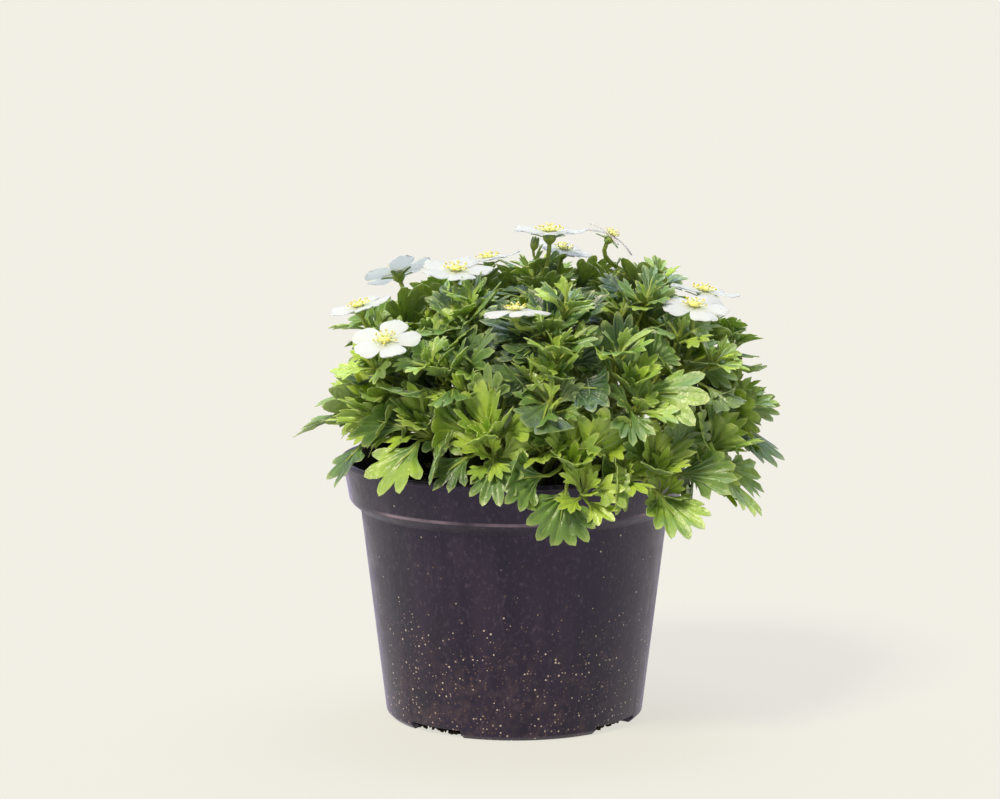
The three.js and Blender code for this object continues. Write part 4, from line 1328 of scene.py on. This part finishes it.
def leaf_blade(settings):
    """Living leaf, grown: a waxy skin over soft green tissue. Semi-gloss lights on
    its upper face, light glowing through it, pale veins, tips and underside."""
    nodes = Material("leaf_blade_living")
    lobe = nodes.attribute("lobe")
    reach = nodes.attribute("reach")
    mottle = nodes.speckle(3.5, 4)
    uneven = nodes.between(nodes.speckle(16, 2), 0.3, 0.7, -0.16, 0.16)
    shade = nodes.add(nodes.attribute("tint"), uneven)
    dark_share = nodes.between(shade, 0.0, 0.55)
    green = nodes.mix(dark_share, settings.deep_green, settings.mid_green)
    green = nodes.mix(nodes.between(shade, 0.45, 1.0), green, settings.bright_green)
    green = nodes.mix(nodes.between(mottle, 0.45, 0.8, 0, 0.3), green, settings.mid_green)
    # Veins run down the middle of each lobe and meet at the stalk
    near = nodes.times(lobe, nodes.add(reach, 0.25))
    vein = nodes.between(near, 0.0, 0.16, 0.32, 0.0)
    green = nodes.mix(vein, green, settings.vein_green)
    end = nodes.between(reach, 0.9, 1.0)
    tip = nodes.times(end, nodes.between(lobe, 0.95, 0.2, 0.04, 0.38))
    green = nodes.mix(tip, green, settings.tip_green)
    heart = nodes.between(reach, 0.35, 0.0, 0.0, 0.5)
    green = nodes.mix(heart, green, settings.vein_green)
    under = nodes.times(nodes.attribute("under"), 0.55)
    pucker = nodes.times(nodes.speckle(2.4, 2), 2.5)
    height = nodes.add(nodes.add(nodes.speckle(0.9, 3), pucker), nodes.times(vein, -0.8))
    return nodes.finish(nodes.principled({
        "Base Color": nodes.mix(under, green, settings.under_green),
        "Roughness": nodes.between(mottle, 0.3, 0.7, 0.3, 0.46),
        "IOR": 1.45,
        "Specular IOR Level": 0.7,
        "Coat Weight": 0.15,
        "Coat Roughness": 0.25,
        "Normal": nodes.bump(height, 0.5, 0.4),
        **soft_tissue(0.35, (0.9, 1.0, 0.25), 1.2),
    }))


def green_stalk(settings):
    """Stem and leaf stalk, grown: juicy and finely hairy, yellow-green in the light. A
    stem is brown where it is old and low in the cushion."""
    nodes = Material("green_stalk_living")
    tint = nodes.attribute("tint")
    streak = nodes.speckle(2.2, 3)
    colour = nodes.mix(nodes.between(tint, 0.2, 0.7), settings.stem_green, settings.stalk_green)
    colour = nodes.mix(nodes.between(streak, 0.45, 0.75, 0, 0.4), colour, settings.vein_green)
    height = nodes.parts(nodes.place())["Z"]
    # Leaf stalks stay green however low they hang
    stem = nodes.between(tint, 0.48, 0.4)
    old = nodes.times(stem, nodes.between(height, 0.104, 0.082, 0.0, 0.8))
    return nodes.finish(nodes.principled({
        "Base Color": nodes.mix(old, colour, settings.old_stem),
        "Roughness": 0.48,
        "IOR": 1.45,
        "Normal": nodes.bump(streak, 0.4, 0.4),
        **soft_tissue(0.25, (0.9, 1.0, 0.3), 1.0),
    }))


def white_petal(settings):
    """Petal, grown: thin white tissue that lets light through, with a velvety face,
    faint veins and a greenish foot. A worn petal is creamy, pinkish at its edge."""
    nodes = Material("white_petal_living")
    foot = nodes.between(nodes.attribute("reach"), 0.32, 0.0, 0.0, 0.75)
    colour = nodes.mix(foot, settings.petal_white, settings.petal_foot)
    # Seven veins fan out along the petal
    waves = nodes.math("SINE", nodes.times(nodes.attribute("lobe"), 7 * math.tau))
    vein = nodes.between(waves, 0.55, 1.0, 0.0, 0.22)
    colour = nodes.mix(vein, colour, settings.petal_vein)
    patchy = nodes.between(nodes.speckle(4), 0.35, 0.7, 0.25, 0.9)
    worn = nodes.times(nodes.attribute("tint"), patchy)
    height = nodes.add(nodes.speckle(0.7, 3), nodes.times(vein, -2.0))
    skin = nodes.principled({
        "Base Color": nodes.mix(worn, colour, settings.petal_worn),
        "Roughness": 0.55,
        "IOR": 1.4,
        "Sheen Weight": 0.15,
        "Normal": nodes.bump(height, 0.3, 0.3),
    })
    # A share of the light passes through and leaves the petal on its other side
    glow = add_node(nodes.tree, "ShaderNodeBsdfTranslucent", {"Color": linear("#f6faff")})
    both = {0: 0.54, 1: skin, 2: glow.outputs[0]}
    return nodes.finish(add_node(nodes.tree, "ShaderNodeMixShader", both).outputs[0])


def plain_living(name, first, second, roughness, grain_mm):
    """Small living parts of a flower, grown: matt, in two tones that follow a grain"""
    nodes = Material(name)
    grain = nodes.speckle(grain_mm, 3)
    share = nodes.add(nodes.times(nodes.attribute("tint"), 0.5), nodes.times(grain, 0.5))
    return nodes.finish(nodes.principled({
        "Base Color": nodes.mix(nodes.between(share, 0.2, 0.8), first, second),
        "Roughness": roughness,
        "IOR": 1.4,
        "Normal": nodes.bump(grain, 0.5, 0.2),
        **soft_tissue(0.3, (1.0, 0.9, 0.3), 0.8),
    }))


def moulded_polypropylene(settings):
    """Recycled polypropylene, injection moulded: a thin, purple-black, satin wall with
    faint flow marks down it, and a dusting of compost and grit low on its side."""
    nodes = Material("polypropylene_moulded")
    place = nodes.place()
    height = nodes.parts(place)["Z"]
    flow = nodes.speckle(9, 3, stretch=(1, 1, 0.12))
    smear = nodes.speckle(6, 5, 0.65)
    colour = nodes.mix(nodes.between(flow, 0.3, 0.7), settings.plastic, settings.plastic_pale)
    # Grit clings to the foot, thinner further up. Each cell of the pattern has a grain
    # or none, by its own chance, and a grain of its own size and tone
    low = nodes.between(height, 0.052, 0.004)
    patch = nodes.between(nodes.speckle(8, 3), 0.42, 0.62)
    cells = {"Vector": place, "Scale": 1 / (1.15 * MM)}
    specks = add_node(nodes.tree, "ShaderNodeTexVoronoi", cells).outputs
    chance = nodes.parts(specks["Color"])
    crowd = nodes.times(nodes.add(low, 0.04), nodes.add(patch, 0.3))
    there = nodes.math("GREATER_THAN", nodes.times(crowd, 1.6), chance["Y"])
    size = nodes.between(chance["Z"], 0.0, 1.0, 0.14, 0.36)
    close = nodes.math("SUBTRACT", size, specks["Distance"])
    grit = nodes.times(there, nodes.between(close, 0.0, 0.08))
    paler = nodes.between(chance["X"], 0.45, 0.9)
    grit_colour = nodes.mix(paler, settings.grit_dark, settings.grit_pale)
    dusty = nodes.times(low, nodes.between(smear, 0.42, 0.72, 0.0, 0.4))
    colour = nodes.mix(dusty, colour, settings.dust)
    # Fine dust all over, and a painted highlight in a broken pale line along the band's foot
    bloom = nodes.speckle(1.3, 4, 0.7, stretch=(1, 1, 0.6))
    colour = nodes.mix(nodes.between(bloom, 0.5, 0.8, 0.0, 0.16), colour, settings.dust_and_edge_highlight)
    edge = nodes.math("ABSOLUTE", nodes.math("SUBTRACT", height, BAND_FOOT * MM))
    # Painted highlight: pale where the band's edge catches the light, broken into patches by noise
    edge_highlight_patches = nodes.between(nodes.speckle(22, 4), 0.35, 0.75, 0.0, 0.8)
    worn = nodes.times(nodes.between(edge, 0.0008, 0.0003), edge_highlight_patches)
    colour = nodes.mix(worn, colour, settings.dust_and_edge_highlight)
    relief = nodes.add(nodes.times(nodes.speckle(0.8, 2), 0.25), nodes.times(flow, 1.2))
    relief = nodes.add(relief, nodes.times(grit, 1.5))
    return nodes.finish(nodes.principled({
        "Base Color": nodes.mix(grit, colour, grit_colour),
        "Roughness": nodes.between(smear, 0.3, 0.7, 0.3, 0.42),
        "IOR": 1.49,
        "Specular IOR Level": 0.55,
        "Specular Tint": linear("#d9ccff"),
        "Sheen Weight": 0.55,
        "Sheen Roughness": 0.25,
        "Sheen Tint": linear("#a99fe0"),
        "Normal": nodes.bump(relief, 0.35, 0.4),
    }))


def peat_compost(settings):
    """Peat compost, sieved: matt, near-black crumbs and fibres with paler bits of grit."""
    nodes = Material("peat_compost_sieved")
    crumbs = nodes.speckle(1.6, 5, 0.7)
    colour = nodes.mix(nodes.between(crumbs, 0.35, 0.7), settings.peat, settings.peat_pale)
    pale = nodes.between(nodes.attribute("tint"), 0.82, 0.95)
    return nodes.finish(nodes.principled({
        "Base Color": nodes.mix(pale, colour, settings.pumice),
        "Roughness": 0.92,
        "Specular IOR Level": 0.25,
        "Normal": nodes.bump(crumbs, 0.9, 1.0),
    }))


def light_table(settings):
    """Opal acrylic, cast, lit from below: matt and cream, so evenly bright that what
    stands on it throws hardly any shadow."""
    nodes = Material("opal_acrylic_cast")
    return nodes.finish(nodes.principled({
        "Base Color": settings.table_colour,
        "Roughness": 1.0,
        "Specular IOR Level": 0.0,
        "Emission Color": settings.table_glow,
        "Emission Strength": settings.table_light,
    }))


# Settings
def colour_of(name, hex_code, description):
    return bpy.props.FloatVectorProperty(
        name=name, description=description, subtype="COLOR", size=4, min=0, max=1,
        default=linear(hex_code),
    )


def length_of(name, millimetres, description):
    return bpy.props.FloatProperty(
        name=name, description=description, unit="LENGTH", default=millimetres * MM, min=0,
        precision=4,
    )


def count_of(name, default, description, least=0):
    return bpy.props.IntProperty(name=name, description=description, default=default, min=least)


def number_of(name, default, description):
    return bpy.props.FloatProperty(name=name, description=description, default=default)


class PotSettings(bpy.types.PropertyGroup):
    wall: length_of("Wall", WALL, "Thickness of the pot's wall")
    edge_round: length_of("Edge rounding", 0.35, "Radius of the moulding's corners")
    sides: count_of("Sides", 144, "Steps round the pot", 24)
    plastic: colour_of("Plastic", "#18121a", "The plastic where it is darkest")
    plastic_pale: colour_of("Plastic flow", "#2a212b", "The plastic along its flow marks")
    dust: colour_of("Dust", "#5e4d43", "Dried compost film low on the wall")
    # Pale colour of the fine dust and of the painted highlight along the band's foot
    dust_and_edge_highlight: colour_of("Scuffs", "#a8929c", "The plastic where handling has scuffed it")
    grit_dark: colour_of("Dark grit", "#5d4636", "The darker grains stuck to the wall")
    grit_pale: colour_of("Pale grit", "#cdbba6", "The paler grains stuck to the wall")


class CompostSettings(bpy.types.PropertyGroup):
    crumb_count: count_of("Crumbs", 420, "Loose crumbs on the compost's top")
    foot_crumb_count: count_of("Foot crumbs", 420, "Crumbs caught in the notches of the foot")
    crumb_size: length_of("Crumb size", 1.1, "Radius of a large crumb")
    peat: colour_of("Peat", "#1d1511", "Moist peat")
    peat_pale: colour_of("Dry peat", "#3c2c22", "Peat where it has dried")
    pumice: colour_of("Grit", "#8d8070", "The odd pale grain")


class FoliageSettings(bpy.types.PropertyGroup):
    blade_thickness: length_of("Blade thickness", 0.36, "Thickness of a leaf at its stalk")
    deep_green: colour_of("Deep green", "#2d4a31", "Leaves on the crown and inside")
    mid_green: colour_of("Leaf green", "#668a3c", "Full-grown leaves")
    bright_green: colour_of("Bright green", "#afce47", "Young leaves and those on the skirt")
    vein_green: colour_of("Veins", "#a9c05a", "Veins and the foot of the blade")
    tip_green: colour_of("Lobe tips", "#c3cf86", "The pale glands at the tips of the lobes")
    under_green: colour_of("Underside", "#93a476", "The lower face of a leaf")
    stalk_green: colour_of("Leaf stalks", "#9fb04c", "Stalks in the light")
    stem_green: colour_of("Stems", "#7d9440", "Stems inside the cushion")
    old_stem: colour_of("Old stems", "#33291a", "Stems close to the compost")


class FlowerSettings(bpy.types.PropertyGroup):
    petal_count: count_of("Petals", 5, "Petals on a flower", 3)
    petal_length: length_of("Petal length", 12, "From the flower's middle to a petal's tip")
    petal_thickness: length_of("Petal thickness", 0.3, "Thickness of a petal")
    stamen_count: count_of("Stamens", 10, "Stamens in a flower")
    petal_white: colour_of("Petal", "#f1f1ea", "The petals")
    petal_foot: colour_of("Petal foot", "#e9edb8", "The foot of the petals")
    petal_vein: colour_of("Petal veins", "#e6e8de", "The veins in the petals")
    petal_worn: colour_of("Worn petal", "#f3dfd2", "Petals that are going over")
    anther: colour_of("Anthers", "#efdb4a", "The ripe anthers")
    anther_dark: colour_of("Old anthers", "#e2c74e", "Anthers that have shed")
    filament: colour_of("Filaments", "#f3f0ac", "The stalks of the stamens")
    ovary: colour_of("Ovary", "#d5dc62", "The ovary in the flower's middle")


class StageSettings(bpy.types.PropertyGroup):
    table_colour: colour_of("Table", "#61605b", "The light table under the pot")
    table_glow: colour_of("Glow", "#f1eee3", "The light that comes up through the table")
    table_light: number_of("Table light", 0.785, "Strength of the table's own light")
    table_radius: length_of("Table radius", 14000, "How far the table goes")
    camera_distance: length_of("Camera distance", 1200, "From the camera to the plant")
    camera_height: bpy.props.FloatProperty(
        name="Camera height", description="Angle the camera looks down by", subtype="ANGLE",
        default=math.radians(8.75))
    camera_lens: number_of("Lens", 124.9, "Focal length in mm")
    front_light: number_of("Front light", 0.2, "Light from the room in front")
    back_light: number_of("Back light", 1.1, "Light from the screens behind")
    key_power: number_of("Key light", 3.3, "Sun strength of the key")


# Stage
def aim(made, place, target):
    """Moves a light or a camera to a place and turns it to its target"""
    made.location = place
    made.rotation_euler = (Vector(target) - Vector(place)).to_track_quat("-Z", "Y").to_euler()


def add_sun(name, strength, colour, place, softness):
    """A sun that shines from a place on the middle of the pot and plant"""
    data = bpy.data.lights.new(name, "SUN")
    data.energy = strength
    data.color = linear(colour)[:3]
    data.angle = math.radians(softness)
    light = in_scene(name, data)
    aim(light, place, (0, 0, 0.1))
    light.visible_camera = False


def make_stage(settings):
    bm = bmesh.new()
    bmesh.ops.create_circle(bm, cap_ends=True, segments=96, radius=settings.table_radius)
    floor = new_object("table_top", bm, light_table(settings))
    set_camera(settings)
    light_room(settings)
    add_sun("key", settings.key_power, "#fff4de", (-0.7, -0.9, 1.5), 16)
    add_sun("top", 1.9, "#dce6ff", (0.2, 0.5, 1.6), 38)
    add_sun("side", 0.35, "#e4d8ff", (-1, -0.25, 0.12), 40)
    bpy.context.scene.view_settings.view_transform = "Standard"


def set_camera(settings):
    data = bpy.data.cameras.new("camera")
    data.lens = settings.camera_lens
    data.sensor_width = 36
    camera = in_scene("camera", data)
    down = settings.camera_height
    rise = Vector((0, math.sin(down), math.cos(down)))
    forward = Vector((0, math.cos(down), -math.sin(down)))
    target = (Vector((AIM_LEFT, 0, POT_HEIGHT)) + rise * AIM_ABOVE_RIM) * MM
    aim(camera, target - forward * settings.camera_distance, target)
    bpy.context.scene.camera = camera


def light_room(settings):
    """The room is darker in front and has its white screens behind the plant"""
    world = bpy.data.worlds.new("studio")
    world.use_nodes = True
    nodes = Nodes(world.node_tree)
    way = nodes.parts(nodes.place("Generated"))
    upwards = nodes.between(way["Z"], 0.1, 0.8)
    inputs = {
        "Color": nodes.mix(upwards, linear("#e6ddfb"), linear("#dce8ff")),
        "Strength": nodes.between(way["Y"], -0.5, 0.7, settings.front_light, settings.back_light),
    }
    background = add_node(nodes.tree, "ShaderNodeBackground", inputs)
    add_node(nodes.tree, "ShaderNodeOutputWorld", {"Surface": background.outputs[0]})
    bpy.context.scene.world = world


# Operators
class SAXIFRAGE_OT_stage(bpy.types.Operator):
    """Lays the light table and sets the camera and the lights"""
    bl_idname = "saxifrage.stage"
    bl_label = "Stage"

    def execute(self, context):
        make_stage(context.scene.saxifrage_stage)
        return {"FINISHED"}


class SAXIFRAGE_OT_pot(bpy.types.Operator):
    """Moulds the nursery pot with its band, lip, foot notches and drain slots"""
    bl_idname = "saxifrage.pot"
    bl_label = "Pot"

    def execute(self, context):
        settings = context.scene.saxifrage_pot
        make_pot(settings, moulded_polypropylene(settings))
        return {"FINISHED"}


class SAXIFRAGE_OT_compost(bpy.types.Operator):
    """Fills the pot with compost and scatters crumbs"""
    bl_idname = "saxifrage.compost"
    bl_label = "Compost"

    def execute(self, context):
        settings = context.scene.saxifrage_compost
        make_compost(settings, peat_compost(settings))
        return {"FINISHED"}


class SAXIFRAGE_OT_shoots(bpy.types.Operator):
    """Grows the leafy shoots with their flower stalks"""
    bl_idname = "saxifrage.shoots"
    bl_label = "Leafy shoots"

    def execute(self, context):
        settings = context.scene.saxifrage_foliage
        materials = [leaf_blade(settings), green_stalk(settings)]
        maker = ShootMaker(settings)
        for shoot in grow_shoots():
            maker.build(shoot, materials)
        return {"FINISHED"}


class SAXIFRAGE_OT_corollas(bpy.types.Operator):
    """Opens the white petals of every flower"""
    bl_idname = "saxifrage.corollas"
    bl_label = "Petals"

    def execute(self, context):
        settings = context.scene.saxifrage_flowers
        make_corollas(settings, white_petal(settings))
        return {"FINISHED"}


class SAXIFRAGE_OT_stamens(bpy.types.Operator):
    """Sets the stamens and the ovary in every flower"""
    bl_idname = "saxifrage.stamens"
    bl_label = "Stamens"

    def execute(self, context):
        settings = context.scene.saxifrage_flowers
        materials = [
            plain_living("filament_living", settings.filament, settings.petal_foot, 0.5, 1.0),
            plain_living("anther_living", settings.anther_dark, settings.anther, 0.7, 0.4),
            plain_living("ovary_living", settings.ovary, settings.filament, 0.45, 0.8),
        ]
        make_stamens(settings, materials)
        return {"FINISHED"}


class SAXIFRAGE_PT_panel(bpy.types.Panel):
    """Lists the steps that make the plant, in order"""
    bl_idname = "SAXIFRAGE_PT_panel"
    bl_label = "Mossy Saxifrage"
    bl_space_type = "VIEW_3D"
    bl_region_type = "UI"
    bl_category = "Saxifrage"

    def draw(self, context):
        for group, operators in STEPS:
            box = self.layout.box()
            settings = getattr(context.scene, group)
            for operator in operators:
                box.operator(operator.bl_idname)
            for name in settings.__annotations__:
                box.prop(settings, name)


GROUPS = {
    "saxifrage_stage": StageSettings,
    "saxifrage_pot": PotSettings,
    "saxifrage_compost": CompostSettings,
    "saxifrage_foliage": FoliageSettings,
    "saxifrage_flowers": FlowerSettings,
}
STEPS = [
    ("saxifrage_stage", [SAXIFRAGE_OT_stage]),
    ("saxifrage_pot", [SAXIFRAGE_OT_pot]),
    ("saxifrage_compost", [SAXIFRAGE_OT_compost]),
    ("saxifrage_foliage", [SAXIFRAGE_OT_shoots]),
    ("saxifrage_flowers", [SAXIFRAGE_OT_corollas, SAXIFRAGE_OT_stamens]),
]


def register():
    for name, group in GROUPS.items():
        bpy.utils.register_class(group)
        setattr(bpy.types.Scene, name, bpy.props.PointerProperty(type=group))
    for _, operators in STEPS:
        for operator in operators:
            bpy.utils.register_class(operator)
    bpy.utils.register_class(SAXIFRAGE_PT_panel)


def unregister():
    bpy.utils.unregister_class(SAXIFRAGE_PT_panel)
    for _, operators in reversed(STEPS):
        for operator in reversed(operators):
            bpy.utils.unregister_class(operator)
    for name, group in reversed(GROUPS.items()):
        delattr(bpy.types.Scene, name)
        bpy.utils.unregister_class(group)


def main():
    register()
    bpy.ops.saxifrage.stage()
    bpy.ops.saxifrage.pot()
    bpy.ops.saxifrage.compost()
    bpy.ops.saxifrage.shoots()
    bpy.ops.saxifrage.corollas()
    bpy.ops.saxifrage.stamens()


if __name__ == "__main__":
    main()
